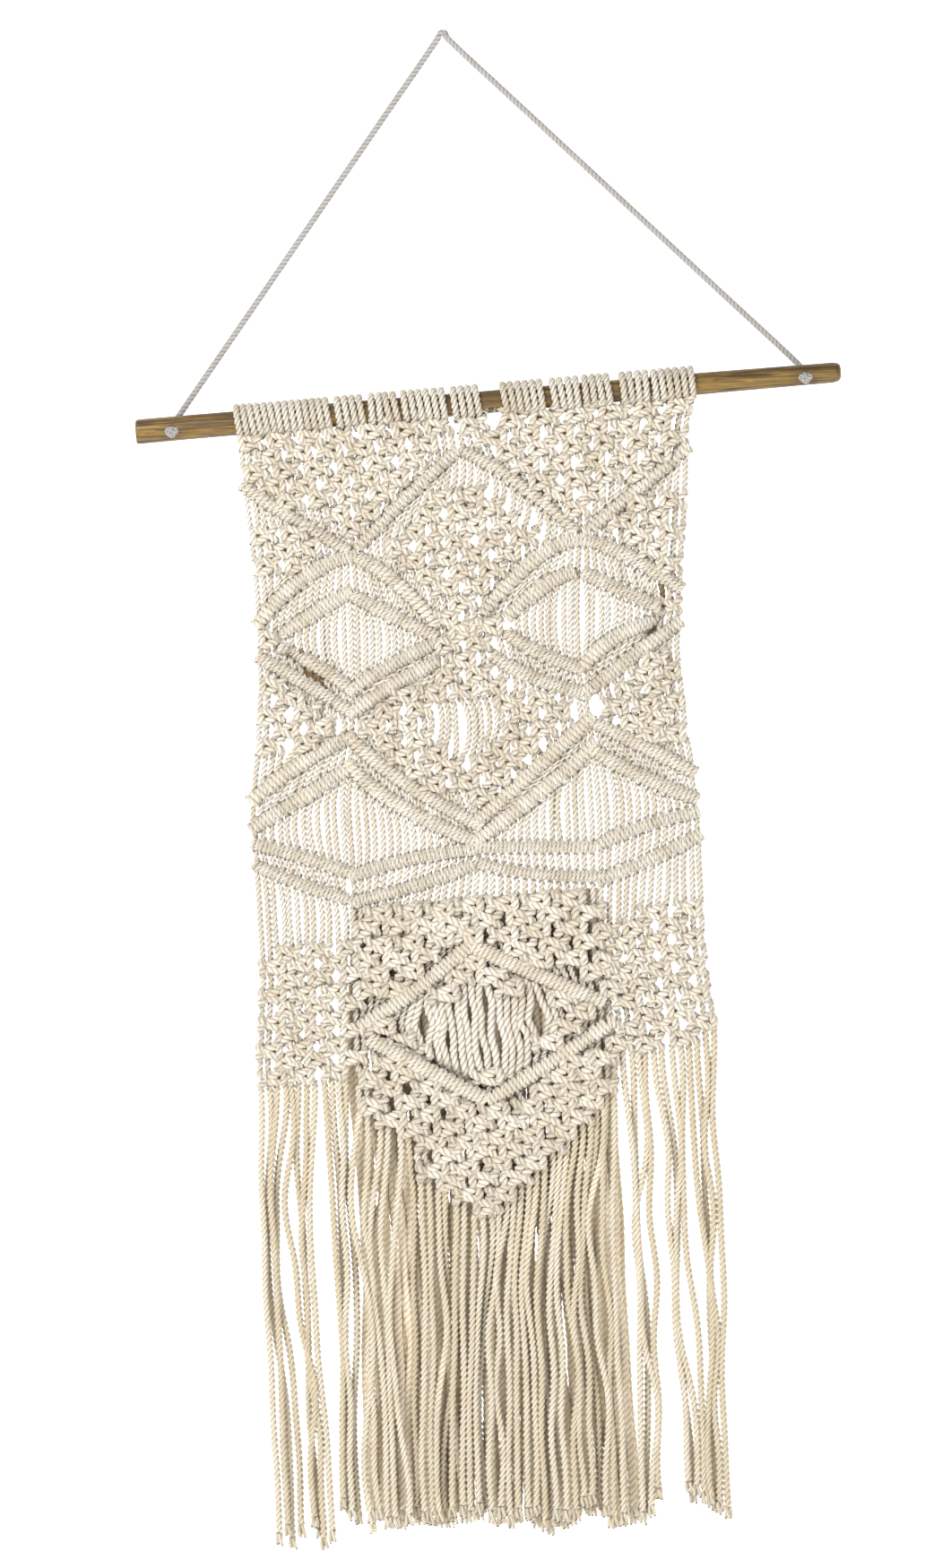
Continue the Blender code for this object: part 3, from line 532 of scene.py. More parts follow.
# drop, left edge, middle strand and right edge
EDGES = (
    (218.0, -136.5, -4.7, 146.0), (255.0, -139.0, -2.1, 141.0),
    (300.0, -135.5, -2.0, 138.2), (350.0, -133.2, -2.1, 132.5),
    (390.0, -134.0, -2.6, 129.0), (440.0, -138.7, -3.2, 132.0),
    (470.0, -143.3, -3.7, 135.0), (500.0, -142.1, -3.8, 136.5),
    (530.0, -141.5, -7.0, 137.5), (570.0, -141.0, -9.4, 136.5),
    (630.0, -146.5, -5.4, 141.5), (735.0, -146.5, -1.5, 140.5),
)

# the ribs on the rod, in packed groups: X of the first and the last, and how many
RIB_GROUPS = (
    (-137.9, -82.8, 14), (-75.6, -61.7, 4), (-54.9, -40.4, 4),
    (-34.3, -10.9, 6), (-3.6, 10.3, 4), (27.6, 49.9, 6),
    (58.2, 72.2, 4), (77.8, 91.7, 4), (101.2, 115.1, 4),
    (120.8, 143.6, 6),
)

OPENINGS = tuple(Opening(*values) for values in (
    (37.0, 309.0, 3.2, 8.0), (47.0, 314.0, 2.0, 5.0), (18.0, 323.0, 1.8, 5.0),
    (24.0, 379.0, 1.6, 4.0), (11.0, 422.0, 2.0, 4.0), (44.0, 421.0, 2.8, 6.0),
    (27.0, 428.0, 2.8, 17.0), (12.0, 523.0, 2.2, 4.0), (21.0, 610.0, 4.2, 6.5),
    (35.0, 613.0, 4.8, 8.0), (25.0, 600.0, 1.7, 5.0), (27.0, 605.0, 2.2, 7.0),
    (29.0, 600.0, 2.0, 5.0), (24.0, 621.0, 2.0, 5.0), (28.0, 629.0, 2.0, 6.0),
    (30.0, 623.0, 2.4, 7.0), (33.0, 620.0, 1.9, 6.0), (12.0, 640.0, 2.4, 5.0),
    (44.0, 662.0, 2.6, 8.0),
))

# where the cloth folds back between two bars, as lines of s, t points
CREASES = (
    ((3.0, 360.0), (6.9, 387.4), (10.6, 404.5)),
    ((53.0, 355.0), (53.6, 361.0), (53.7, 367.4), (51.7, 379.2)),
    ((16.0, 615.0), (21.5, 633.5), (27.6, 652.5)),
)


@dataclass(frozen=True)
class StrandChart:
    """Turns a strand position s and a drop t into a place in the hanging.

    Across, a strand lies at left + (middle - left) s / 28, or the like on the right, read
    from the edges at its drop.  Just below the rod it leans to its own rib, by an amount
    that fades as exp(-(t - top) / fan), and beside an opening it is pushed away.

    Attributes:
        edges, ribs: the tables of the cloth's edges and of the ribs' places on the rod.
        top: drop at which the cords leave the rod.
        spread: an opening's push reaches this many of its half widths.
        cusp: distance over which the push turns from left to right.
        cloth_y: the cloth's middle plane behind the rod's axis.
        swell, waves: height of its slow waves, and strands and drop to a radian and the
            height of each of them.
        fold_width, fold_depth: half width and depth of a crease.
    """

    edges: Array
    ribs: Array
    openings: tuple[Opening, ...] = OPENINGS
    top: float = 237.0
    fan: float = 9.0
    spread: float = 3.0
    cusp: float = 0.8
    cloth_y: float = 1.0
    swell: float = 0.8
    waves: tuple[Triple, ...] = ((9.0, 70.0, 1.0), (-16.0, 38.0, 0.6))
    fold_width: float = 3.2
    fold_depth: float = 7.0

    @classmethod
    def of_hanging(cls) -> "StrandChart":
        """The chart of this hanging."""
        return cls(np.array(EDGES), np.concatenate([np.linspace(*group) for group in RIB_GROUPS]))

    def natural(self, s: Array, t: Array) -> Array:
        """X of a strand position before it leans or is pushed."""
        left, middle, right = (np.interp(t, self.edges[:, 0], self.edges[:, k]) for k in (1, 2, 3))
        return np.where(s < MIDDLE, left + (middle - left) * s / MIDDLE,
                        middle + (right - middle) * (s - MIDDLE) / MIDDLE)

    def across(self, s: Array, t: Array) -> Array:
        """X of a strand position at a drop."""
        x = self.natural(s, t)
        own = np.arange(STRANDS) + 0.5
        lean = self.ribs - self.natural(own, np.full(STRANDS, self.top))
        x = x + np.interp(s, own, lean) * np.exp(-np.maximum(t - self.top, 0.0) / self.fan)
        for gap in self.openings:
            off = x - float(self.natural(np.array(gap.s), np.array(gap.t)))
            push = gap.half_width * np.exp(-np.abs(off) / (self.spread * gap.half_width))
            fade = np.exp(-((t - gap.t) / gap.half_height) ** 2)
            x = x + np.tanh(off / self.cusp) * push * fade
        return x

    def fold(self, s: Array, t: Array) -> Array:
        """Nearness to the creases: exp(-(distance / width)^2) of the nearest one."""
        here = np.stack((s * STRAND_PITCH, t), axis=-1)[..., None, :]
        near = np.zeros(np.shape(s))
        for crease in CREASES:
            line = through(np.array(crease) * (STRAND_PITCH, 1.0), 2.0)
            gap = np.min(np.linalg.norm(here - line, axis=-1), axis=-1)
            near = np.maximum(near, np.exp(-(gap / self.fold_width) ** 2))
        return near

    def middle(self, s: Array, t: Array) -> Array:
        """Y of the cloth's middle plane: two slow waves and the folds."""
        rise = sum(high * np.sin(s / wide + t / long) for wide, long, high in self.waves)
        whole = sum(high for _, _, high in self.waves)
        return self.cloth_y + self.swell * rise / whole + self.fold_depth * self.fold(s, t)

    def place(self, s: Array, t: Array, forward: Array | float = 0.0) -> Array:
        """The point of a strand position and drop, brought forward from the middle plane."""
        s, t = np.broadcast_arrays(np.asarray(s, dtype=float), np.asarray(t, dtype=float))
        x = self.across(s, t)
        return np.stack((x, self.middle(s, t) - forward, x * TILT - t), axis=-1)


@dataclass(frozen=True)
class Bar:
    """A bar of double half hitches.

    Attributes:
        start, middle, end: three chart points of its middle line.
        width: over the hitches.
        slot: height of the row of free strands that the net above leaves open.
        raised: how far it stands forward of the cloth around it.
        fade: strands from a bar's end within which its strands lean less.
        least: share of the lean that is left at its end.
        grip: how far beyond its ends a bar still takes a strand, in strands.
    """

    start: Pair
    middle: Pair
    end: Pair
    width: float = 9.6
    slot: float = 0.0
    raised: float = 1.2
    fade: float = 3.0
    least: float = 0.15
    grip: float = 0.2

    @property
    def reaches(self) -> Pair:
        """The strand positions of its ends, the left one first."""
        return min(self.start[0], self.end[0]), max(self.start[0], self.end[0])

    def curve(self, steps: int = CURVE_STEPS) -> Array:
        """Points along the bar: the quadratic curve through its three points, by rising s."""
        start, middle, end = (np.array(p) for p in (self.start, self.middle, self.end))
        control = 2 * middle - 0.5 * (start + end)
        u = np.linspace(0.0, 1.0, steps + 1)[:, None]
        line = (1 - u) ** 2 * start + 2 * u * (1 - u) * control + u ** 2 * end
        return line[np.argsort(line[:, 0])]

    def drop(self, s: Array) -> Array:
        """Drop of the bar's middle at strand positions."""
        line = self.curve()
        return np.interp(s, line[:, 0], line[:, 1])

    def slope(self, s: Array) -> Array:
        """How steeply the bar runs downwards to the right at strand positions."""
        line = self.curve()
        step = np.gradient(line, axis=0)
        return np.interp(s, line[:, 0], step[:, 1] / (step[:, 0] * STRAND_PITCH))

    def reach(self, s: Array) -> Array:
        """How far the bar's border lies above or below its middle at strand positions."""
        return 0.5 * self.width * np.sqrt(1 + self.slope(s) ** 2)

    def rise(self, s: Array) -> Array:
        """How far above the bar's middle a strand, which crosses it square, meets its border."""
        return 0.5 * self.width / np.sqrt(1 + self.slope(s) ** 2)

    def lean(self, s: Array) -> Array:
        """How far to the right of its middle a strand meets the bar's upper border.

        A strand crosses a bar at a right angle, so it is half the width times the sine of
        the bar's slope, in strands.  It fades towards the bar's ends, where bars meet.
        """
        slope = self.slope(s)
        low, high = self.reaches
        share = np.clip(np.minimum(s - low, high - s) / self.fade, self.least, 1.0)
        return share * 0.5 * self.width * slope / np.sqrt(1 + slope ** 2) / STRAND_PITCH

    def strands(self) -> Array:
        """Numbers of the strands that are hitched on the bar."""
        low, high = self.reaches
        numbers = np.arange(STRANDS)
        return numbers[(numbers + 0.5 > low - self.grip) & (numbers + 0.5 < high + self.grip)]


BARS = tuple(Bar(*values) for values in (
    # the crown
    ((28.0, 257.0), (21.5, 281.0), (14.2, 312.0), 8.0, 0.4),
    ((28.2, 257.0), (34.8, 279.5), (42.0, 314.0), 8.0, 2.4),
    # the corners
    ((0.3, 268.0), (6.2, 291.0), (13.2, 314.5), 8.8, 0.0),
    ((55.7, 267.5), (49.6, 291.5), (43.6, 314.0), 8.8, 0.0),
    # the upper left leaf, its outer and inner ring
    ((13.8, 316.5), (7.0, 327.0), (0.3, 354.0)),
    ((13.6, 317.0), (18.4, 333.5), (24.0, 364.0)),
    ((13.2, 338.5), (8.5, 348.5), (2.85, 364.0)),
    ((12.6, 339.5), (17.0, 352.5), (23.8, 371.0)),
    ((2.85, 369.0), (7.2, 380.5), (13.1, 401.5)),
    ((23.8, 374.5), (17.0, 388.0), (12.4, 400.5)),
    ((0.3, 374.5), (6.5, 394.0), (13.2, 415.5)),
    ((24.2, 385.5), (17.5, 400.5), (12.2, 415.0)),
    # the upper right leaf
    ((42.4, 318.5), (36.8, 328.5), (29.8, 361.0)),
    ((43.2, 319.5), (48.0, 329.0), (55.7, 354.0)),
    ((42.2, 337.5), (38.2, 345.0), (33.4, 362.0)),
    ((42.8, 338.5), (47.5, 350.5), (53.15, 365.5)),
    ((32.8, 371.5), (37.5, 386.5), (43.3, 400.0)),
    ((53.15, 371.5), (47.2, 381.5), (42.8, 399.0)),
    ((31.0, 385.0), (36.5, 402.0), (43.4, 414.5)),
    ((55.7, 375.0), (49.0, 396.0), (42.9, 414.0)),
    # the lower left leaf
    ((13.2, 427.5), (6.6, 441.0), (0.3, 463.0)),
    ((12.3, 428.5), (18.6, 456.5), (28.6, 490.0)),
    ((13.2, 445.0), (7.8, 460.5), (0.3, 480.5)),
    ((12.3, 445.5), (18.5, 472.5), (28.4, 501.0)),
    ((0.3, 489.5), (6.5, 500.5), (13.1, 514.5), 9.0),
    ((28.2, 504.5), (19.5, 507.5), (12.3, 515.0), 9.0),
    ((0.3, 502.5), (6.0, 517.0), (13.1, 530.5), 8.6),
    ((28.2, 513.5), (20.0, 524.5), (12.3, 531.0), 8.6),
    # the lower right leaf
    ((43.6, 429.5), (36.5, 456.0), (28.1, 488.5)),
    ((42.9, 430.0), (49.5, 448.5), (55.7, 468.5)),
    ((43.5, 446.5), (37.6, 468.5), (28.4, 498.5)),
    ((42.9, 447.0), (48.8, 467.0), (55.7, 485.0)),
    ((28.2, 503.5), (36.0, 506.5), (42.8, 509.5), 9.0),
    ((55.7, 493.0), (48.5, 499.5), (43.4, 508.5), 9.0),
    ((28.0, 512.0), (35.0, 522.3), (43.6, 528.0), 8.6),
    ((55.7, 507.5), (49.8, 519.5), (43.0, 531.0), 8.6),
    # the frame of the block's diamond
    ((27.7, 564.0), (21.2, 585.5), (13.2, 608.0), 10.6, 0.0, 3.0),
    ((28.4, 565.0), (35.2, 584.5), (43.2, 607.0), 10.6, 0.0, 3.0),
    ((14.2, 616.5), (20.5, 637.0), (27.8, 660.0), 10.6, 0.0, 3.0),
    ((43.4, 618.5), (36.0, 640.0), (28.4, 660.0), 10.6, 0.0, 3.0),
))


def inside(points: Array, corners: Sequence[Pair]) -> Array:
    """Whether each s, t point lies inside a polygon, by counting crossed sides."""
    result = np.zeros(len(points), dtype=bool)
    ring = np.array(corners)
    for (s0, t0), (s1, t1) in zip(ring, np.roll(ring, -1, axis=0)):
        if t0 != t1:
            crosses = (t0 > points[:, 1]) != (t1 > points[:, 1])
            cut = s0 + (points[:, 1] - t0) * (s1 - s0) / (t1 - t0)
            result ^= crosses & (points[:, 0] < cut)
    return result


@dataclass(frozen=True)
class Net:
    """A field of alternating square knots.

    Attributes:
        piece: name of the mesh that it belongs to.
        first: drop of its first row.
        pitch: distance between two rows.
        hole: strand position of a hole between two knots of the first row.
        limits: the strand positions of its side edges, where its strands hang true.
        corners: the field's outline, as s, t pairs.
        slack: strands within which the knots come back to their charted places at the
            sides, beyond half a knot.
    """

    piece: str
    name: str
    first: float
    pitch: float
    hole: float
    limits: Pair
    corners: tuple[Pair, ...]
    slack: float = 5.0

    @property
    def girth(self) -> float:
        """Factor on its cords' thickness: the block's knots are pulled up less tight."""
        return 1.18 if self.limits == BLOCK else 1.07

    @property
    def charted_hole(self) -> int:
        """The even strand position that the hole is charted at."""
        return 2 * round(self.hole / 2)

    def slip(self, columns: Array) -> Array:
        """How far knots at these columns stand beside their charted places, in strands."""
        inner = np.minimum(columns - self.limits[0], self.limits[1] - columns) - HALF_KNOT
        return (self.hole - self.charted_hole) * np.clip(inner / self.slack, 0.0, 1.0)

    def lattice(self) -> Array:
        """Middles of all knots that the rows could hold, as strand position and drop."""
        low = max(t for _, t in self.corners)
        middles = []
        for row in range(-2, int((low - self.first) / self.pitch) + 2):
            first = (self.charted_hole + HALF_KNOT * (1 + row % 2)) % (2 * HALF_KNOT)
            columns = np.arange(first, STRANDS + 1, 2.0 * HALF_KNOT)
            columns = columns[(columns >= HALF_KNOT) & (columns <= STRANDS - HALF_KNOT)]
            drops = np.full(len(columns), self.first + row * self.pitch)
            middles.append(np.column_stack((columns, drops)))
        return np.concatenate(middles)


WHOLE, BLOCK = (0.0, 56.0), (12.0, 44.0)
NETS = tuple(Net(*values[:6], values[6:]) for values in (
    ("upper_nets", "upper_left", 241.5, 9.7, 28.0, WHOLE,
     (-1.0, 230.0), (28.6, 230.0), (28.6, 252.0), (13.4, 314.0), (7.0, 324.0), (-1.0, 352.0)),
    ("upper_nets", "upper_right", 241.5, 9.7, 28.0, WHOLE,
     (27.4, 230.0), (57.0, 230.0), (57.0, 352.0), (48.5, 326.0), (42.5, 312.0), (27.8, 252.0)),
    ("diamond_nets", "upper_diamond", 295.0, 9.4, 25.4, WHOLE,
     (28.0, 277.0), (32.4, 289.0), (37.2, 309.0), (36.8, 326.0), (31.2, 362.0), (31.2, 372.0),
     (23.8, 372.0), (20.0, 346.0), (16.8, 324.0), (17.6, 308.0), (20.2, 293.0)),
    ("diamond_nets", "lower_diamond", 377.5, 9.4, 23.2, WHOLE,
     (23.4, 366.0), (33.6, 362.0), (33.6, 391.0), (43.6, 416.0), (43.0, 428.0), (29.6, 484.0),
     (29.6, 512.0), (26.0, 512.0), (26.0, 484.0), (12.9, 426.0), (12.8, 416.0), (23.8, 384.0)),
    ("diamond_nets", "left_triangle", 393.0, 9.4, 0.8, WHOLE,
     (-1.0, 381.0), (12.6, 416.0), (12.6, 426.0), (6.6, 438.0), (-1.0, 461.0)),
    ("diamond_nets", "right_triangle", 396.0, 9.4, 54.8, WHOLE,
     (57.0, 380.0), (57.0, 467.0), (49.5, 445.0), (43.4, 428.0), (43.4, 416.0), (49.0, 399.0)),
    ("lower_nets", "block_top", 549.0, 9.2, 15.8, BLOCK,
     (12.2, 534.0), (43.8, 534.0), (43.8, 606.0), (28.4, 562.0), (27.7, 562.0), (12.2, 609.0)),
    ("lower_nets", "block_eye", 583.0, 9.0, 24.0, BLOCK,
     (28.0, 569.0), (43.0, 612.0), (28.1, 656.0), (13.8, 612.0)),
    ("lower_nets", "block_point", 640.5, 8.6, 16.8, BLOCK,
     (12.2, 616.0), (28.1, 664.0), (43.8, 620.0), (43.8, 657.0), (36.2, 698.0), (28.2, 741.0),
     (23.0, 721.0), (18.6, 699.0), (12.2, 653.0)),
    ("lower_nets", "left_side", 576.0, 8.5, 9.6, (0.0, 14.0),
     (-1.0, 545.0), (13.2, 552.0), (13.2, 636.0), (-1.0, 636.0)),
    ("lower_nets", "right_side", 562.0, 8.8, 49.6, (42.0, 56.0),
     (42.8, 556.0), (57.0, 541.0), (57.0, 636.0), (42.8, 636.0)),
    ("diamond_nets", "left_edge", 364.0, 9.4, 0.0, WHOLE,
     (-1.0, 358.0), (3.1, 358.0), (3.1, 370.0), (-1.0, 370.0)),
    ("diamond_nets", "right_edge", 364.5, 9.4, 56.0, WHOLE,
     (52.9, 358.0), (57.0, 358.0), (57.0, 371.0), (52.9, 371.0)),
))

# fields of free strands inside the nets
EYE = ((28.2, 590.0), (33.2, 596.0), (36.7, 606.0), (36.6, 622.0), (32.8, 629.0), (28.0, 641.0),
       (24.0, 629.0), (19.4, 619.0), (19.2, 603.0), (23.6, 596.0))
WINDOWS = (((27.1, 408.0), (32.6, 428.0), (27.1, 449.0), (21.6, 428.0)), EYE)


# ---- knots ------------------------------------------------------------------------------
@dataclass(frozen=True)
class SquareKnot:
    """A square knot of four cords, drawn for a row pitch of 9.4.

    Two core cords hang straight.  The left cord crosses in front of them to the right, as a
    short sloping bar, and comes back as a second one.  The right cord passes over the first
    bar's end, runs behind the cores, stands as an upright loop over the bars' left ends,
    runs behind again and comes out over the second bar's right end.  The points give the
    way across from the knot's middle, the way down and the way forward.

    Attributes:
        steps: stations to one lay of the cord.
        sideways, downwards: spread of the knots' places, in strands and in drop.
        widened, deepened: spread of their widths and depths, as shares.
        tilted: spread of their tilts, as drop to each millimetre across.
    """

    cord: Cord
    steps: float = 6.5
    sideways: float = 0.15
    downwards: float = 0.55
    widened: float = 0.07
    deepened: float = 0.14
    tilted: float = 0.08
    drawn_pitch: float = 9.4
    left: tuple[Triple, ...] = (
        (-7.6, -4.7, 0.4), (-7.2, -4.3, 0.2), (-5.8, -4.1, 0.4), (-4.4, -3.9, 1.4),
        (-2.9, -3.4, 3.8), (-1.0, -2.6, 5.2), (1.2, -1.6, 4.9), (3.0, -0.8, 2.4),
        (4.2, -0.3, -0.4), (4.6, 0.0, -1.2), (4.2, 0.3, -0.4), (3.0, 0.9, 2.4), (1.2, 1.8, 4.9),
        (-1.0, 2.7, 5.2), (-2.9, 3.5, 3.8), (-4.4, 3.9, 1.4), (-5.8, 4.1, 0.4),
        (-7.2, 4.3, 0.2), (-7.6, 4.7, 0.4))
    right: tuple[Triple, ...] = (
        (7.6, -4.7, 0.4), (7.5, -3.9, 2.4), (6.8, -2.9, 4.6), (5.6, -1.7, 4.9), (4.5, -0.8, 2.2),
        (3.0, -0.6, -1.6), (0.8, -1.2, -3.2), (-1.6, -2.3, -3.0), (-3.6, -3.5, -0.6),
        (-4.8, -3.6, 2.2), (-5.4, -2.1, 4.9), (-5.5, 0.0, 5.5), (-5.4, 2.1, 4.9),
        (-4.8, 3.6, 2.2), (-3.6, 3.4, -0.6), (-1.6, 2.3, -3.0), (0.8, 1.2, -3.2),
        (3.0, 0.6, -1.6), (4.5, 0.9, 2.2), (5.6, 1.8, 4.8), (6.8, 2.9, 4.4), (7.5, 3.9, 2.0),
        (7.6, 4.7, 0.4))
    core: tuple[Triple, ...] = (
        (-2.6, -4.7, 0.4), (-2.1, -3.2, 0.2), (-1.7, 0.0, 0.0), (-2.1, 3.2, 0.2),
        (-2.6, 4.7, 0.4))

    def lay(self, skein: Skein, chart: StrandChart, middles: Array, net: Net,
            chance: Chance) -> None:
        """Ties a knot at each middle.

        The drawn points become s = middle + slip + across / strand pitch and
        t = middle + down x pitch / drawn pitch, and the chart places them.  Every second
        row is mirrored.  Each knot is nudged a little, by an amount that fades to nothing
        at its top and bottom.

        Args:
            skein: takes the cords.
            chart: places them.
            middles: strand positions and drops, one row a knot.
            net: the field that they belong to.
            chance: source of the small differences between knots.
        """
        mirrored = tuple((-x, y, z) for x, y, z in self.core)
        size = len(middles)
        column, drop = middles[:, :1], middles[:, 1:]
        hand = 1 - 2 * np.mod(np.round((drop - net.first) / net.pitch), 2)
        aside, lower, wider, deeper, tilt = chance.normal(0.0, 1.0, (size, 5)).T[..., None]
        for points in (self.core, mirrored, self.left, self.right):
            across, down, forward = through(points, self.cord.spacing(self.steps)).T
            across = hand * across
            hold = 1 - (2 * down / self.drawn_pitch) ** 4
            width = 1 + (net.girth - 1) * hold + self.widened * wider * hold
            s = (column + net.slip(column) + across * width / STRAND_PITCH
                 + self.sideways * aside * hold)
            t = (drop + down * net.pitch / self.drawn_pitch
                 + (self.downwards * lower + self.tilted * tilt * across) * hold)
            skein.add(chart.place(s, t, forward * (1 + self.deepened * deeper)), self.cord,
                      chance.random(size), net.girth, chance.random(size))


@dataclass(frozen=True)
class HitchBar:
    """Double half hitches side by side on a hidden core.

    Each strand winds around the core one and a half times, so two of its turns show in
    front, and it fills out where the strands cross further apart.  In the bar's own
    directions, along a, across b and forward c, the turn at angle q is
    a = (1/2 - q / 3 pi) 3/4 pitch, b = -B cos q, c = C sin q, for q from 0 to 3 pi, and a is
    mirrored on a bar that runs down to the left.

    Attributes:
        depth: C, how far the cord's middle stands forward of the bar's.
        stations: along the wound part.
        ends: half turns where that part begins and ends.
        share: its length along the bar, as a share of the strands' distance.
        drawn_pitch: the strands' distance for which the cord is drawn.
        girths: factors on its thickness at the least and the greatest distance.
        uneven: spread of the hitches' sizes, as a share.
        core_steps, core_shade: stations and tint of the core.
    """

    cord: Cord
    core: Cord
    depth: float = 3.5
    stations: int = 17
    ends: Pair = (0.08, 2.92)
    share: float = 0.75
    drawn_pitch: float = 5.1
    girths: Pair = (0.9, 1.35)
    uneven: float = 0.05
    core_steps: int = 20
    core_shade: float = 0.6

    def lay(self, skein: Skein, chart: StrandChart, bar: Bar, chance: Chance) -> None:
        """Hitches every strand that crosses the bar, and lays the core."""
        s = bar.strands() + 0.5
        t, lean, rise = bar.drop(s), bar.lean(s), bar.rise(s)
        middle = chart.place(s, t, bar.raised)
        small = 0.1
        along = (chart.place(s + small, bar.drop(s + small))
                 - chart.place(s - small, bar.drop(s - small))) / (2 * small)
        pitch = np.linalg.norm(along, axis=1)[:, None]
        along = unit(along)[:, None]
        down = np.stack((along[..., 2], np.zeros_like(along[..., 0]), -along[..., 0]), axis=-1)
        half = 0.5 * bar.width - self.cord.radius
        angle = np.linspace(self.ends[0] * math.pi, self.ends[1] * math.pi, self.stations)
        wobble = 1 + self.uneven * chance.normal(0.0, 1.0, (len(s), 1))
        a = (0.5 - angle / (3 * math.pi)) * self.share * pitch * np.sign(lean)[:, None]
        b = -half * np.cos(angle) * wobble
        turns = middle[:, None] + a[..., None] * along + b[..., None] * down
        turns[..., 1] -= self.depth * np.sin(angle) * wobble
        top = chart.place(s + lean, t - rise)[:, None]
        bottom = chart.place(s - lean, t + rise)[:, None]
        skein.add(np.concatenate((top, turns, bottom), axis=1), self.cord, chance.random(len(s)),
                  np.clip(pitch / self.drawn_pitch, *self.girths), chance.random(len(s)))
        line = bar.curve(self.core_steps)
        skein.add(chart.place(line[:, 0], line[:, 1], bar.raised)[None], self.core,
                  self.core_shade)


@dataclass
class Span:
    """A stretch of one strand that is taken by a knot or a hitch."""

    top: float
    bottom: float
    enters: float
    leaves: float


class KnottedCloth:
    """The openwork cloth: nets, bars and the free strands between them."""

    cord: Cord = Cord(radius=2.5, lay=9.0, hollow=0.2)
    hitch_cord: Cord = Cord(radius=1.5, lay=9.0, hollow=0.14)
    core_cord: Cord = Cord(radius=2.5, lay=14.0)
    free_cord: Cord = Cord(radius=2.2, hollow=0.26)
    eye_cord: Cord = Cord(radius=2.65, lay=13.0, hollow=0.1)
    creased: float = 0.6          # a strand whose middle is this near a crease lies in it and gets the painted-shade cotton
    crease_reach: float = 16.0    # longer strands than this leave a crease
    ease: float = 8.0             # a free strand comes back to its own place in this length
    bowed: float = 40.0           # strands shorter than this bow less
    bow_aside: float = 0.12       # spread of the sideways bows, in strands
    bow_forward: float = 0.5      # spread of the forward bows
    eye_forward: float = 2.2      # the strands of the eye bow this much further forward
    overlap: float = 0.6          # a free strand runs this far into the knots at its ends
    rim: float = 1.2              # a knot's middle keeps this far from a bar that is not raised
    # shifts of a knot's middle that all have to lie in its net, off the windows and off bars
    in_net: tuple[Pair, ...] = ((0.0, 0.0), (-1.0, 0.0), (1.0, 0.0))
    off_window: tuple[Pair, ...] = (
        (0.0, 0.0), (0.0, -2.0), (0.0, 2.0), (-0.8, 0.0), (0.8, 0.0))
    off_bar: tuple[float, ...] = (-0.8, 0.0, 0.8)

    def __init__(self, chart: StrandChart, cotton: Material, knotted: Material, taut: Material,
                 shadowed: Material, seed: int = 7) -> None:
        """Plans the cloth: which knots there are and what each strand does on its way.

        Args:
            chart: places every strand.
            cotton: material of the free strands.
            knotted: material of the nets.
            taut: material of the bars.
            shadowed: material of the strands in a crease, a darker brown cotton as painted shade.
            seed: starts the cloth's own random numbers.
        """
        self.chart = chart
        self.cotton, self.knotted, self.taut, self.shadowed = cotton, knotted, taut, shadowed
        self.chance = np.random.default_rng(seed)
        self.spans: list[list[Span]] = [[] for _ in range(STRANDS)]
        self.knots = {net.name: self.knots_of(net) for net in NETS}
        for bar in BARS:
            numbers = bar.strands()
            s = numbers + 0.5
            for number, t, high, lean in zip(numbers, bar.drop(s), bar.rise(s), bar.lean(s)):
                self.spans[number].append(Span(t - high, t + high, lean, -lean))
        for net in NETS:
            knots, half = self.knots[net.name], 0.5 * net.pitch
            for (column, t), slip in zip(knots, net.slip(knots[:, 0])):
                for number in range(round(column) - HALF_KNOT, round(column) + HALF_KNOT):
                    self.spans[number].append(Span(t - half, t + half, slip, slip))
        for spans in self.spans:
            spans.sort(key=lambda span: span.top)

    def knots_of(self, net: Net) -> Array:
        """The knots that a net holds: in its outline, outside the windows and clear of bars."""
        middles = net.lattice()
        shift = np.column_stack((net.slip(middles[:, 0]), np.zeros(len(middles))))
        middles = middles + shift
        kept = np.ones(len(middles), dtype=bool)
        for move in self.in_net:
            kept &= inside(middles + move, net.corners)
        for move in self.off_window:
            for window in WINDOWS:
                kept &= ~inside(middles + move, window)
        for ds in self.off_bar:
            s = middles[:, 0] + ds
            for bar in BARS:
                low, high = bar.reaches
                below = middles[:, 1] - bar.drop(s)
                near = bar.reach(s) + self.rim - bar.raised
                kept &= (s < low) | (s > high) | (below > near) | (below < -near - bar.slot)
        return (middles - shift)[kept]

    def build_nets(self) -> None:
        """Ties the nets, as three pieces from the top of the cloth to its bottom."""
        knot = SquareKnot(self.cord)
        skeins = {net.piece: Skein(net.piece) for net in NETS}
        for net in NETS:
            knots = self.knots[net.name]
            log.info("net %s: %d square knots", net.name, len(knots))
            knot.lay(skeins[net.piece], self.chart, knots, net, self.chance)
        for skein in skeins.values():
            skein.build(self.knotted, Slot.CLOTH, "knotted_cloth")

    def build_bars(self) -> None:
        """Ties the bars of double half hitches."""
        hitches = HitchBar(self.hitch_cord, self.core_cord)
        skein = Skein("hitched_bars")
        for bar in BARS:
            hitches.lay(skein, self.chart, bar, self.chance)
        skein.build(self.taut, Slot.CLOTH, "knotted_cloth")

    def free_stretches(self) -> list[tuple[float, ...]]:
        """Where strands run free: their s, and the slip beside it and t of both ends."""
        stretches = []
        for number, spans in enumerate(self.spans):
            s = number + 0.5
            reached, slip = self.chart.top, 0.0
            for span in spans:
                if span.top - reached > self.overlap:
                    stretches.append((s, slip, reached - self.overlap,
                                      span.enters, span.top + self.overlap))
                if span.bottom > reached:
                    reached, slip = span.bottom, span.leaves
        return stretches

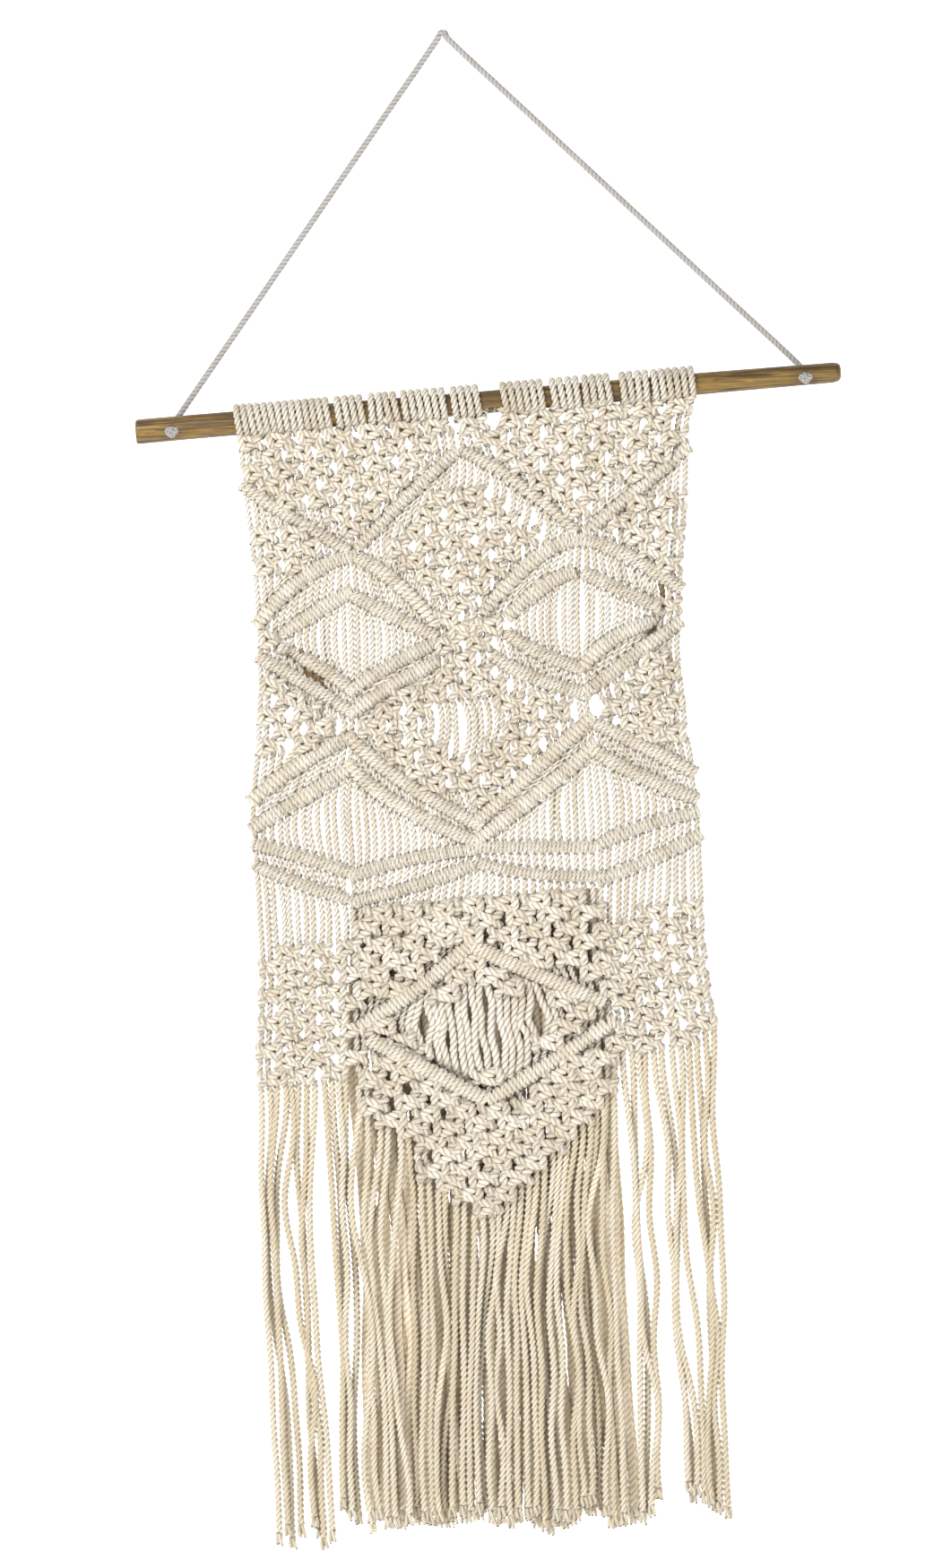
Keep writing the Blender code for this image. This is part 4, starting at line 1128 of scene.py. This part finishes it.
    def build_free_strands(self) -> None:
        """Lays the strands that run free in the windows and bands.

        A stretch leaves its upper place at once and nears its lower one at last:
        s = own + a (1 - v) exp(-down / ease) + b v exp(-up / ease), with a and b the slips of
        its ends.  It bows sideways and forward as sin(pi v).
        """
        skein, creased = Skein("free_strands"), Skein("creased_strands_painted_shade")
        stretches = np.array(self.free_stretches())
        height = stretches[:, 4] - stretches[:, 2]
        counts = np.maximum(3, np.round(height / self.free_cord.spacing()) + 1)
        for count in np.unique(counts):
            some = stretches[counts == count]
            v = np.linspace(0.0, 1.0, int(count))[None]
            own, first, top, last, bottom = (column[:, None] for column in some.T)
            bow = np.sin(math.pi * v) * np.minimum(1.0, (bottom - top) / self.bowed)
            lean, out = self.chance.normal(0.0, 1.0, (2, len(some), 1))
            t = top + (bottom - top) * v
            s = (own + first * (1 - v) * np.exp((top - t) / self.ease)
                 + last * v * np.exp((t - bottom) / self.ease) + self.bow_aside * lean * bow)
            middle = np.stack((s, t), axis=-1)[:, int(count) // 2]
            eye = inside(middle, EYE)
            forward = (self.bow_forward * out + self.eye_forward * eye[:, None]) * bow
            paths = self.chart.place(s, t, forward)
            shade, phase = self.chance.random((2, len(some)))
            # strands in a short stretch near a crease get the darker brown cotton, as painted
            # shade
            deep = self.chart.fold(middle[:, 0], middle[:, 1]) > self.creased
            deep &= (bottom - top)[:, 0] < self.crease_reach
            for part, cord, chosen in ((skein, self.free_cord, ~deep & ~eye),
                                       (skein, self.eye_cord, ~deep & eye),
                                       (creased, self.free_cord, deep)):
                part.add(paths[chosen], cord, shade[chosen], phase=phase[chosen])
        skein.build(self.cotton, Slot.CLOTH, "knotted_cloth")
        creased.build(self.shadowed, Slot.CLOTH, "knotted_cloth")

    def ends(self) -> Array:
        """Where each strand leaves the cloth: its strand position and drop."""
        result = []
        for number, spans in enumerate(self.spans):
            last = max(spans, key=lambda span: span.bottom)
            result.append((number + 0.5 + last.leaves, last.bottom - self.overlap))
        return np.array(result)


# ---- the rod and what is looped on it --------------------------------------------------
@dataclass(frozen=True)
class Rod:
    """The wooden rod, hand-sanded, a little thinner towards its right end.

    Its surface is x = x0 + u, y = r cos q, z = axis + r sin q, with the radius r read from
    the profile at u and made uneven by two slow waves around it.

    Attributes:
        drop: of the axis, below the nail.
        left: X of the left end.
        profile: distance from the left end and radius.
        rounded: rows of the profile that round one end, beside its tip.
        waves: height, count around and length of a radian along X of each wave.
        hole_below_axis: how far below the axis the holes are drilled.
        step: distance between two rings.
        cutter: sides and length of the cylinder that cuts a hole.
        sharp: degrees from which an edge is shaded as sharp.
    """

    drop: float = 228.7
    left: float = -201.5
    profile: tuple[Pair, ...] = (
        (0.0, 0.0), (0.0, 6.9), (0.5, 7.45), (1.6, 7.7), (60.0, 7.65), (150.0, 7.25),
        (250.0, 7.05), (350.0, 6.75), (433.0, 6.4), (436.4, 5.6), (437.7, 4.2), (438.0, 0.0))
    rounded: int = 3
    waves: tuple[tuple[float, int, float], ...] = ((0.012, 2, 31.0), (0.008, 3, -17.0))
    hole_diameter: float = 4.9
    hole_below_axis: float = 0.8
    holes: Pair = (-178.8, 213.6)
    sides: int = 56
    step: float = 3.0
    cutter: tuple[int, float] = (24, 40.0)
    sharp: float = 50.0

    def height(self, x: float | Array) -> float | Array:
        """Z of the rod's axis at a place along X."""
        return x * TILT - self.drop

    def hole(self, x: float) -> Triple:
        """Middle of the hole that is drilled at a place along X."""
        return x, 0.0, self.height(x) - self.hole_below_axis

    def build(self, wood: Material) -> Object:
        """Turns the rod, drills it for the hanger and returns the piece."""
        table, ends = np.array(self.profile), self.rounded
        inner = np.arange(table[ends, 0], table[-ends - 1, 0], self.step)[1:]
        straight = np.column_stack((inner, np.interp(inner, *table[ends:-ends].T)))
        along, radius = np.vstack((table[1:ends + 1], straight, table[-ends - 1:-1])).T
        around = 2 * math.pi * np.arange(self.sides) / self.sides
        x, q = np.meshgrid(self.left + along, around, indexing="ij")
        uneven = sum((high * np.sin(count * q + x / long) for high, count, long in self.waves),
                     start=1.0)
        r = radius[:, None] * uneven
        points = np.stack((x, r * np.cos(q), self.height(x) + r * np.sin(q)), axis=-1)
        mesh = mesh_of("rod_stick", points.reshape(-1, 3),
                       tube_faces(np.zeros(1, dtype=int), len(along), self.sides))
        piece = place_piece(mesh, wood, Slot.ROD, ("rod",))
        self.drill(piece)
        piece.data.set_sharp_from_angle(angle=math.radians(self.sharp))
        return piece

    def drill(self, piece: Object) -> None:
        """Cuts both holes with a cylinder and applies the cut."""
        cutters = []
        for x in self.holes:
            bpy.ops.mesh.primitive_cylinder_add(
                vertices=self.cutter[0], radius=0.5 * self.hole_diameter * MM,
                depth=self.cutter[1] * MM, location=metres(self.hole(x)),
                rotation=(math.pi / 2, 0.0, 0.0))
            cutters.append(bpy.context.active_object)
            piece.modifiers.new("hole", "BOOLEAN").object = cutters[-1]
        seen = piece.evaluated_get(bpy.context.evaluated_depsgraph_get())
        drilled = bpy.data.meshes.new_from_object(seen)
        piece.modifiers.clear()
        piece.data = drilled
        for cutter in cutters:
            bpy.data.objects.remove(cutter, do_unlink=True)


@dataclass(frozen=True)
class Headings:
    """The doubled cords looped on the rod with reversed larks-head knots.

    A cord comes up in front of the rod, over it and down behind, crosses to the side as the
    hidden bight, and goes back the same way.  Around the rod it lies at
    y = -R sin q, z = axis + rise - R cos q, for q from 0 below to 180 degrees on top.

    Attributes:
        radius, rise: R, and how far the loops' middle stands over the rod's axis.
        lean, wander: how far the loops lean sideways, and the spread of that.
        entry: degrees past the lowest point where the cord meets the rod.
        bight: degrees around, where the bight crosses behind the rod.
        bow: how far the middle of the bight is drawn back from a straight line.
        steps: stations to one lay of the cord.
        tuck: how far the cord's ends reach down into the cloth.
    """

    rod: Rod
    cord: Cord = Cord(radius=2.35, lay=11.0, hollow=0.26)
    radius: float = 9.0
    rise: float = 0.9
    lean: float = 0.9
    wander: float = 0.35
    entry: float = 8.0
    bight: float = 318.0
    bow: Triple = (0.0, -0.4, 1.6)
    steps: float = 8.0
    tuck: float = 2.5

    def build(self, chart: StrandChart, cotton: Material, chance: Chance) -> Object:
        """Loops all 28 cords.

        Args:
            chart: gives the ribs' places and where the cloth begins.
            cotton: material of the cords.
            chance: source of the small differences between loops.

        Returns:
            The piece.
        """
        pairs = chart.ribs.reshape(-1, 2)
        first, last = math.radians(self.entry), math.radians(self.bight)
        stations = int((last - first) * self.radius / self.cord.spacing(self.steps))
        angle = np.linspace(first, last, stations)
        wave = chance.normal(0.0, self.wander, (len(pairs), 1))
        sides = []
        for rib in (0, 1):
            x = pairs[:, rib:rib + 1] + (self.lean + wave) * np.cos(angle)
            centre = self.rod.height(x) + self.rise
            sides.append(np.stack((x, np.broadcast_to(-self.radius * np.sin(angle), x.shape),
                                   centre - self.radius * np.cos(angle)), axis=-1))
        left, right = sides
        across = np.linspace(0.0, 1.0, 6)[1:-1, None]
        bight = left[:, -1:] + (right[:, -1:] - left[:, -1:]) * across
        bight = bight - np.sin(math.pi * across) * np.array(self.bow)
        hang = [chart.place(np.arange(rib, STRANDS, 2) + 0.5, chart.top + self.tuck)[:, None]
                for rib in (0, 1)]
        paths = np.concatenate((hang[0], left, bight, right[:, ::-1], hang[1]), axis=1)
        skein = Skein("larks_heads")
        skein.add(paths, self.cord, chance.random(len(pairs)), phase=chance.random(len(pairs)))
        nodes = [f"heading_{number}" for number in range(1, len(RIB_GROUPS) + 1)]
        return skein.build(cotton, Slot.HEADING, *nodes)


@dataclass(frozen=True)
class Hanger:
    """The hanger: one cord through both holes of the rod and up over the nail.

    Its route is a Catmull-Rom curve through given points, taut between the rod and
    the nail, and each end is held in front of the rod by a small overhand knot.

    Attributes:
        front: Y where the cord enters its knot.
        bend: a leg's points from there, as ways inward, back and up from its hole.
        shoulder, crest: points beside the nail, to the right of it, and near its top.
        apex_rise: how far the cord's middle passes over the nail's own point.
        leg_lengths: straight pieces from the bend to the shoulder.
        knot_cord: the cord in the knots, pulled tight.
        knot_size: half sizes of a knot.
        knot_gap: between a knot and the cord's bend.
        knot_drop: how far a knot is pulled down below its hole.
        knot_stations: along the cord of a knot.
        shade: the cord's one tint.
    """

    rod: Rod
    cord: Cord = Cord(radius=2.15, lay=9.0, hollow=0.07)
    front: float = -8.6
    bend: tuple[Triple, ...] = (
        (0.0, 0.0, 0.0), (0.0, 8.0, 0.0), (0.2, 12.2, 1.6), (1.2, 13.8, 6.0), (5.0, 13.5, 12.0))
    apex_rise: float = 2.0
    shoulder: Triple = (5.2, 0.6, -4.2)
    crest: Triple = (2.4, 0.1, 0.9)
    leg_lengths: int = 5
    knot_cord: Cord = Cord(radius=1.55, lay=6.0, hollow=0.15)
    knot_size: Triple = (5.0, 2.9, 3.8)
    knot_gap: float = 0.3
    knot_drop: float = 2.4
    knot_stations: int = 44
    shade: float = 0.3

    def leg(self, x: float, inward: float) -> Array:
        """One leg's points, from its knot through the rod and up to the nail."""
        ways = np.array(((0.0, self.front, 0.0), *self.bend)) * (inward, 1.0, 1.0)
        low = np.array(self.rod.hole(x)) + ways
        end = np.array(self.shoulder) * (-inward, 1.0, 1.0)
        share = np.linspace(0.0, 1.0, self.leg_lengths + 1)[:, None]
        return np.vstack((low[:-1], low[-1] + (end - low[-1]) * share))

    def route(self) -> Array:
        """Stations along the whole cord."""
        left, right = self.leg(self.rod.holes[0], 1.0), self.leg(self.rod.holes[1], -1.0)
        out, back, up = self.crest
        apex = np.array(((-out, back, up), (0.0, 0.0, self.apex_rise), (out, back, up)))
        return through(np.vstack((left, apex, right[::-1])), self.cord.spacing())

    def overhand(self, x: float, skein: Skein) -> None:
        """A small overhand knot in front of a hole.

        It is the trefoil (sin p + 2 sin 2p, cos p - 2 cos 2p, -sin 3p), cut open at its
        back and brought to the knot's size.
        """
        p = np.linspace(0.0, 2 * math.pi, self.knot_stations)
        turn = np.stack((np.sin(p) + 2 * np.sin(2 * p), -np.sin(3 * p),
                         np.cos(p) - 2 * np.cos(2 * p)), axis=-1)
        size = (np.array(self.knot_size) - self.knot_cord.radius) / np.array((3.0, 1.0, 3.0))
        z = self.rod.hole(x)[2] - self.knot_drop
        middle = np.array((x, self.front - self.knot_size[1] - self.knot_gap, z))
        skein.add((middle + turn * size)[None], self.knot_cord, self.shade)

    def build(self, cotton: Material) -> Object:
        line = self.route()
        skein = Skein("hanger_rope")
        skein.add(line[None], self.cord, self.shade)
        piece = skein.build(cotton, Slot.HANGER, "hanger_cord")
        for side, x in zip(("left", "right"), self.rod.holes):
            knot = Skein(f"overhand_knot_{side}")
            self.overhand(x, knot)
            knot.build(cotton, Slot.HANGER, f"hanger_knot_{side}")
        return piece


# ---- the fringe --------------------------------------------------------------------------
# place across the hanging, and drop of the fringe's tips there
TIPS = (
    (-150.0, 921.0), (-136.0, 925.0), (-126.0, 917.0), (-118.0, 925.0), (-104.0, 910.0),
    (-90.0, 914.0), (-72.0, 921.0), (-56.0, 917.0), (-40.0, 921.0), (-24.0, 916.0),
    (-6.0, 918.0), (16.0, 925.0), (34.0, 927.0), (48.0, 917.0), (66.0, 930.0),
    (82.0, 927.0), (100.0, 918.0), (118.0, 918.0), (136.0, 931.0), (150.0, 918.0),
)
# where the 56 strands hang: x at the drop of 760 and at the tip, and 1 in front, -1 behind
HANGING = (
    (-146.3, -145.5, 1), (-142.2, -137.6, -1), (-140.6, -139.8, 1), (-136.5, -131.8, -1),
    (-126.6, -123.2, 1), (-123.8, -120.5, -1), (-121.4, -118.0, 1), (-117.0, -112.6, 1),
    (-101.5, -105.0, 1), (-98.6, -101.8, -1), (-96.4, -100.0, 1), (-92.8, -96.0, -1),
    (-88.4, -88.0, 1), (-83.7, -83.0, 1), (-79.0, -78.0, 1), (-73.6, -73.0, 1),
    (-68.8, -64.8, 1), (-53.4, -60.0, -1), (-49.2, -54.8, 1), (-44.4, -50.0, 1),
    (-39.6, -45.4, 1), (-34.6, -42.0, -1), (-30.0, -37.6, 1), (-25.0, -31.0, 1),
    (-20.2, -26.3, 1), (-15.6, -21.2, 1), (-11.6, -18.0, -1), (-8.0, -13.5, 1),
    (-3.2, -7.4, 1), (1.8, -2.0, 1), (6.8, 3.4, 1), (11.6, 9.6, 1),
    (17.0, 14.4, 1), (21.8, 19.4, 1), (25.8, 23.0, -1), (29.4, 26.6, 1),
    (34.2, 33.0, 1), (41.0, 39.0, 1), (45.8, 44.0, 1), (50.8, 49.0, 1),
    (54.6, 53.0, -1), (58.8, 57.6, 1), (64.0, 63.0, 1), (70.4, 68.2, 1),
    (84.8, 80.2, 1), (87.4, 83.6, -1), (89.6, 85.4, 1), (94.4, 90.6, 1),
    (106.0, 109.2, 1), (108.6, 112.0, -1), (110.8, 114.2, 1), (116.6, 119.0, 1),
    (126.0, 122.8, 1), (128.6, 125.8, -1), (130.8, 128.0, 1), (135.6, 133.0, 1),
)


@dataclass(frozen=True)
class Fringe:
    """The hanging ends of all strands, and the strands behind the middle block.

    A strand leaves the cloth at its own place, moves to where it hangs over the first part
    of its drop and drifts to its tip's place below that, both by the smooth step
    S(v) = 3 v^2 - 2 v^3.  It sways a little by slow sines on the way, and its cut end opens
    into its three plies.

    Attributes:
        layer: how far a strand hangs in front of the middle plane or behind it.
        gather: length in which a strand moves to where it hangs.
        halfway: drop for which that place is charted.
        opened: length of the splayed plies.
        batch: stations come in multiples of this, so that many strands share their number.
        sway, ripple: width and length of a radian of the sideways sways.
        drift: the same of the sway forward.
        tip_spread: spread of the front strands' lengths.
        back_first, back_count, back_top: first strand position, number and upper drop of
            the strands behind the block.
        back_depth: how far the two rows of them hang behind the middle plane.
        back_spread: factors on their width, halfway and at the tips.
        back_wander: spread of their tips in X and Y, and of their places halfway.
        back_tips: mean and spread of how much longer they are than the front ones.
        back_steps: stations to one lay of their cord.
    """

    chart: StrandChart
    cord: Cord = Cord(radius=2.45, lay=11.0, hollow=0.26)
    back_cord: Cord = Cord(radius=3.05, lay=12.0, hollow=0.22)
    ply: Cord = Cord(radius=1.2, lay=5.0, hollow=0.25)
    layer: float = 2.6
    gather: float = 75.0
    halfway: float = 760.0
    opened: float = 7.0
    batch: int = 8
    sway: Pair = (2.5, 34.0)
    ripple: Pair = (0.9, 13.0)
    drift: Pair = (0.6, 50.0)
    tip_spread: float = 3.0
    back_first: float = 12.6
    back_count: int = 62
    back_top: float = 535.0
    back_depth: Pair = (8.8, 13.0)
    back_spread: Pair = (1.06, 1.11)
    back_wander: Triple = (1.6, 0.4, 0.8)
    back_tips: Pair = (2.0, 3.0)
    back_steps: float = 5.0

    def hang(self, skein: Skein, cord: Cord, starts: Array, halves: Array, ends: Array,
             chance: Chance, steps: float = 9.0) -> None:
        """Hangs strands.

        Args:
            skein: takes them.
            cord: their section.
            starts, ends: their first and last points.
            halves: their x at the halfway drop.
            chance: source of the small differences between strands.
            steps: stations to one lay of the cord.
        """
        drops = starts[:, 2] - ends[:, 2] - self.opened
        counts = np.round(drops / cord.spacing(steps) / self.batch) * self.batch + 1
        waves = chance.normal(0.0, 1.0, (len(starts), 4))
        shades, phases = chance.random(len(starts)), chance.random(len(starts))
        for count in np.unique(counts):
            some = counts == count
            x0, y0, z0 = starts[some].T[..., None]
            x1, y1, z1 = ends[some].T[..., None]
            one, two, three, four = waves[some].T[..., None]
            half = halves[some][:, None]
            v = np.linspace(0.0, 1.0, int(count))[None]
            down = drops[some][:, None] * v
            z = z0 - down
            near, far = (3 * u ** 2 - 2 * u ** 3 for u in
                         (np.clip(down / self.gather, 0.0, 1.0),
                          np.clip((-z - self.halfway) / (-z1 - self.halfway), 0.0, 1.0)))
            swing = np.sqrt(np.sin(math.pi * v))
            sway, ripple, drift = (np.sin(down / long + phase * 3) for (_, long), phase in
                                   ((self.sway, two), (self.ripple, three), (self.drift, four)))
            x = (x0 + (half - x0) * near + (x1 - half) * far
                 + swing * (self.sway[0] * one * sway + self.ripple[0] * four * ripple))
            y = y0 + (y1 - y0) * near + self.drift[0] * three * swing * drift
            paths = np.stack((x, y, z), axis=-1)
            skein.add(paths, cord, shades[some], phase=phases[some])
            self.open_tips(skein, paths[:, -1], shades[some], chance)

    def open_tips(self, skein: Skein, tips: Array, shades: Array, chance: Chance) -> None:
        """Lets the three plies of each cut end splay apart.

        A ply starts one millimetre up inside the cord, 0.7 from its middle, and moves
        outwards by 1 to 1.6 times the square root of the way down, while it turns a
        quarter around.  It swells and then narrows to its end.

        Args:
            skein: takes the plies.
            tips: last points of the cords.
            shades: the cords' tints.
            chance: source of the differences between ends.
        """
        v = np.linspace(0.0, 1.0, 7)[None]
        turn = chance.random(len(tips))
        for ply in range(self.cord.plies):
            angle = 2 * math.pi * (turn[:, None] + ply / 3 + 0.25 * v)
            out = 0.7 + (1.0 + 0.6 * chance.random((len(tips), 1))) * np.sqrt(v)
            length = self.opened * (0.85 + 0.3 * chance.random((len(tips), 1)))
            paths = tips[:, None] + np.stack(
                (out * np.cos(angle), out * np.sin(angle), 1.0 - (length + 1.0) * v), axis=-1)
            girth = 1 + 0.25 * v[0] - 0.45 * v[0] ** 6
            skein.add(paths, self.ply, shades, girth=girth, phase=chance.random(len(tips)))

    def tip_drop(self, x: Array) -> Array:
        """Drop of the tips across the hanging."""
        return np.interp(x, *np.array(TIPS).T)

    def build(self, ends: Array, cotton: Material, back_painted_light: Material, chance: Chance) -> None:
        """Makes the four pieces of the fringe.

        Args:
            ends: where each strand leaves the cloth, as strand position and drop.
            cotton: material of the strands in front.
            back_painted_light: material of the strands behind the block, paler than the front
                cotton as painted light that lifts their shade.
            chance: source of the small differences between strands.
        """
        starts = self.chart.place(ends[:, 0], ends[:, 1])
        halves, x, side = np.array(HANGING).T
        tips = self.tip_drop(x) + chance.normal(0.0, self.tip_spread, STRANDS)
        finish = np.stack((x, self.chart.cloth_y - self.layer * side, x * TILT - tips), axis=-1)
        for part, first, last in (("left", 0, 12), ("point", 12, 44), ("right", 44, 56)):
            skein = Skein(f"fringe_strands_{part}")
            some = slice(first, last)
            self.hang(skein, self.cord, starts[some], halves[some], finish[some], chance)
            skein.build(cotton, Slot.FRINGE, f"fringe_{part}")
        self.build_back(back_painted_light, chance)

    def build_back(self, back_painted_light: Material, chance: Chance) -> None:
        """Hangs the two rows of strands behind the block."""
        count = self.back_count
        wander_x, wander_y, wander_half = self.back_wander
        depth = -np.take(self.back_depth, np.arange(count) % 2)
        top = self.chart.place(self.back_first + 0.5 * np.arange(count), self.back_top, depth)
        off = top[:, 0] - np.mean(top[:, 0])
        low = top + chance.normal(0.0, 1.0, (count, 3)) * (wander_x, wander_y, 0.0)
        low[:, 0] += (self.back_spread[1] - 1) * off
        low[:, 2] = (low[:, 0] * TILT - self.tip_drop(low[:, 0])
                     - chance.normal(*self.back_tips, count))
        half = (top[:, 0] + (self.back_spread[0] - 1) * off
                + chance.normal(0.0, wander_half, count))
        skein = Skein("fringe_strands_back")
        self.hang(skein, self.back_cord, top, half, low, chance, self.back_steps)
        skein.build(back_painted_light, Slot.BACK, "fringe_back")


# ---- the studio --------------------------------------------------------------------------
@dataclass(frozen=True)
class Studio:
    """Camera, lights and the pale paper behind and below the hanging.

    Attributes:
        aim: the point that the camera looks at.
        seen: height of what it sees there.
        distance: from the camera to the hanging.
        roll: the camera's turn about its line of sight, in degrees.
        floor, wall: Z of the paper's floor and Y of its wall.
        bend: radius of the paper between them.
        paper_top, paper_front, paper_half: the paper's upper, front and side edges.
        lamps: name, place, size and power in watts of each square light.
        sky, sky_strength: the surround that lights the hanging from all sides.
    """

    aim: Triple = (-1.9, 0.0, -464.4)
    seen: float = 972.3
    distance: float = 2600.0
    roll: float = 2.74
    sensor: float = 36.0
    floor: float = -1080.0
    wall: float = 420.0
    bend: float = 200.0
    paper_top: float = 1400.0
    paper_front: float = -3600.0
    paper_half: float = 2600.0
    lamps: tuple[tuple[str, Triple, float, float], ...] = (
        ("key", (-1000.0, -1700.0, 500.0), 700.0, 41.0),
        ("fill", (1300.0, -1700.0, -500.0), 1300.0, 13.0))
    sky: str = "#f6f7fa"
    sky_strength: float = 0.55

    def camera(self) -> None:
        """Sets up the camera: straight on, long lens, slightly rolled."""
        data = bpy.data.cameras.new("camera")
        data.sensor_fit = "AUTO"
        data.sensor_width = self.sensor
        data.lens = self.sensor * self.distance / self.seen
        data.clip_end = 20.0      # metres
        camera = enter("camera", data)
        camera.location = metres((self.aim[0], self.aim[1] - self.distance, self.aim[2]))
        camera.rotation_euler = (math.pi / 2, math.radians(self.roll), 0.0)
        bpy.context.scene.camera = camera

    def paper(self, material: Material) -> None:
        """A sheet of paper that runs down behind the hanging and forward as the floor."""
        q = np.linspace(0.0, math.pi / 2, 13)
        y = np.concatenate(((self.wall,), self.wall - self.bend * (1 - np.cos(q)),
                            (self.paper_front,)))
        z = np.concatenate(((self.paper_top,), self.floor + self.bend * (1 - np.sin(q)),
                            (self.floor,)))
        points = np.concatenate([np.column_stack((np.full(len(y), x), y, z))
                                 for x in (-self.paper_half, self.paper_half)])
        a = np.arange(len(y) - 1)
        quads = np.column_stack((a, a + 1, a + 1 + len(y), a + len(y)))
        mesh = mesh_of("studio_paper", points, (quads,))
        mesh.materials.append(material)
        enter("studio_paper", mesh)

    def lights(self) -> None:
        """Soft square lights that point at the hanging, and a pale surround."""
        for name, place, size, power in self.lamps:
            data = bpy.data.lights.new(name, "AREA")
            data.size = size * MM
            data.energy = power
            lamp = enter(name, data)
            lamp.location = metres(place)
            x, y, z = np.array(self.aim) - np.array(place)
            lamp.rotation_euler = (math.atan2(math.hypot(x, y), -z), 0.0,
                                   math.atan2(y, x) - math.pi / 2)
        world = bpy.data.worlds.new("surround")
        world.use_nodes = True
        background = world.node_tree.nodes["Background"]
        background.inputs["Color"].default_value = linear(self.sky)
        background.inputs["Strength"].default_value = self.sky_strength
        bpy.context.scene.world = world
        bpy.context.scene.view_settings.view_transform = "Standard"


def main() -> None:
    """Builds the studio and every piece in order."""
    logging.basicConfig(level=logging.INFO, format="%(name)s: %(message)s")
    studio = Studio()
    studio.camera()
    rod = Rod()
    # the fourth colour of each cotton is the painted shade in the grooves between its plies
    pale = CottonFinish("hanger_cotton_bleached", "#adaba8", "#989692", "#6a6762").build()
    Hanger(rod).build(pale)
    cotton = CottonFinish("loose_cotton_ecru", "#e5e1d8", "#d6cebf", "#857150").build()
    knotted = CottonFinish("knotted_cotton_ecru", "#dbd5c9", "#c9c0b0", "#77633f",
                           crease_shade_share=0.7, ply=0.4).build()
    chart = StrandChart.of_hanging()
    chance = np.random.default_rng(SEED)
    # pulled tight over the bars, the plies close up and only the hitches stay to be seen, so the
    # grooves get less painted shade
    taut = CottonFinish("hitched_cotton_ecru", "#dad4c8", "#cbc2b1", "#7d6b4d",
                        crease_shade_share=0.45, ply=0.2).build()
    # painted shade: deep in a crease the cotton is given a brown colour for the shade there, where
    # light has bounced from cord to cord
    shadowed = CottonFinish("creased_cotton_painted_shade", "#967d57", "#836a46", "#5c4726").build()
    cloth = KnottedCloth(chart, cotton, knotted, taut, shadowed)
    cloth.build_nets()
    cloth.build_bars()
    cloth.build_free_strands()
    rod.build(WoodFinish("oiled_branch", "#8c702b", "#5d4417", "#1d1408").build())
    looped = CottonFinish("looped_cotton_ecru", "#dfd9cd", "#d0c7b5", "#6f5b3c").build()
    Headings(rod).build(chart, looped, chance)
    hanging = CottonFinish("fringe_cotton_ecru", "#e2dac9", "#d1c5ac", "#9c875f").build()
    # painted light: the strands behind the block are paler than the front fringe, to lift the
    # shade they hang in
    back_painted_light = CottonFinish("back_fringe_cotton_painted_light", "#f6eedd", "#e6d9bd", "#bda074").build()
    Fringe(chart).build(cloth.ends(), hanging, back_painted_light, chance)
    studio.paper(PaperFinish("studio_paper_white", "#f4f4f4").build())
    studio.lights()


if __name__ == "__main__":
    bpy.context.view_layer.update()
    main()
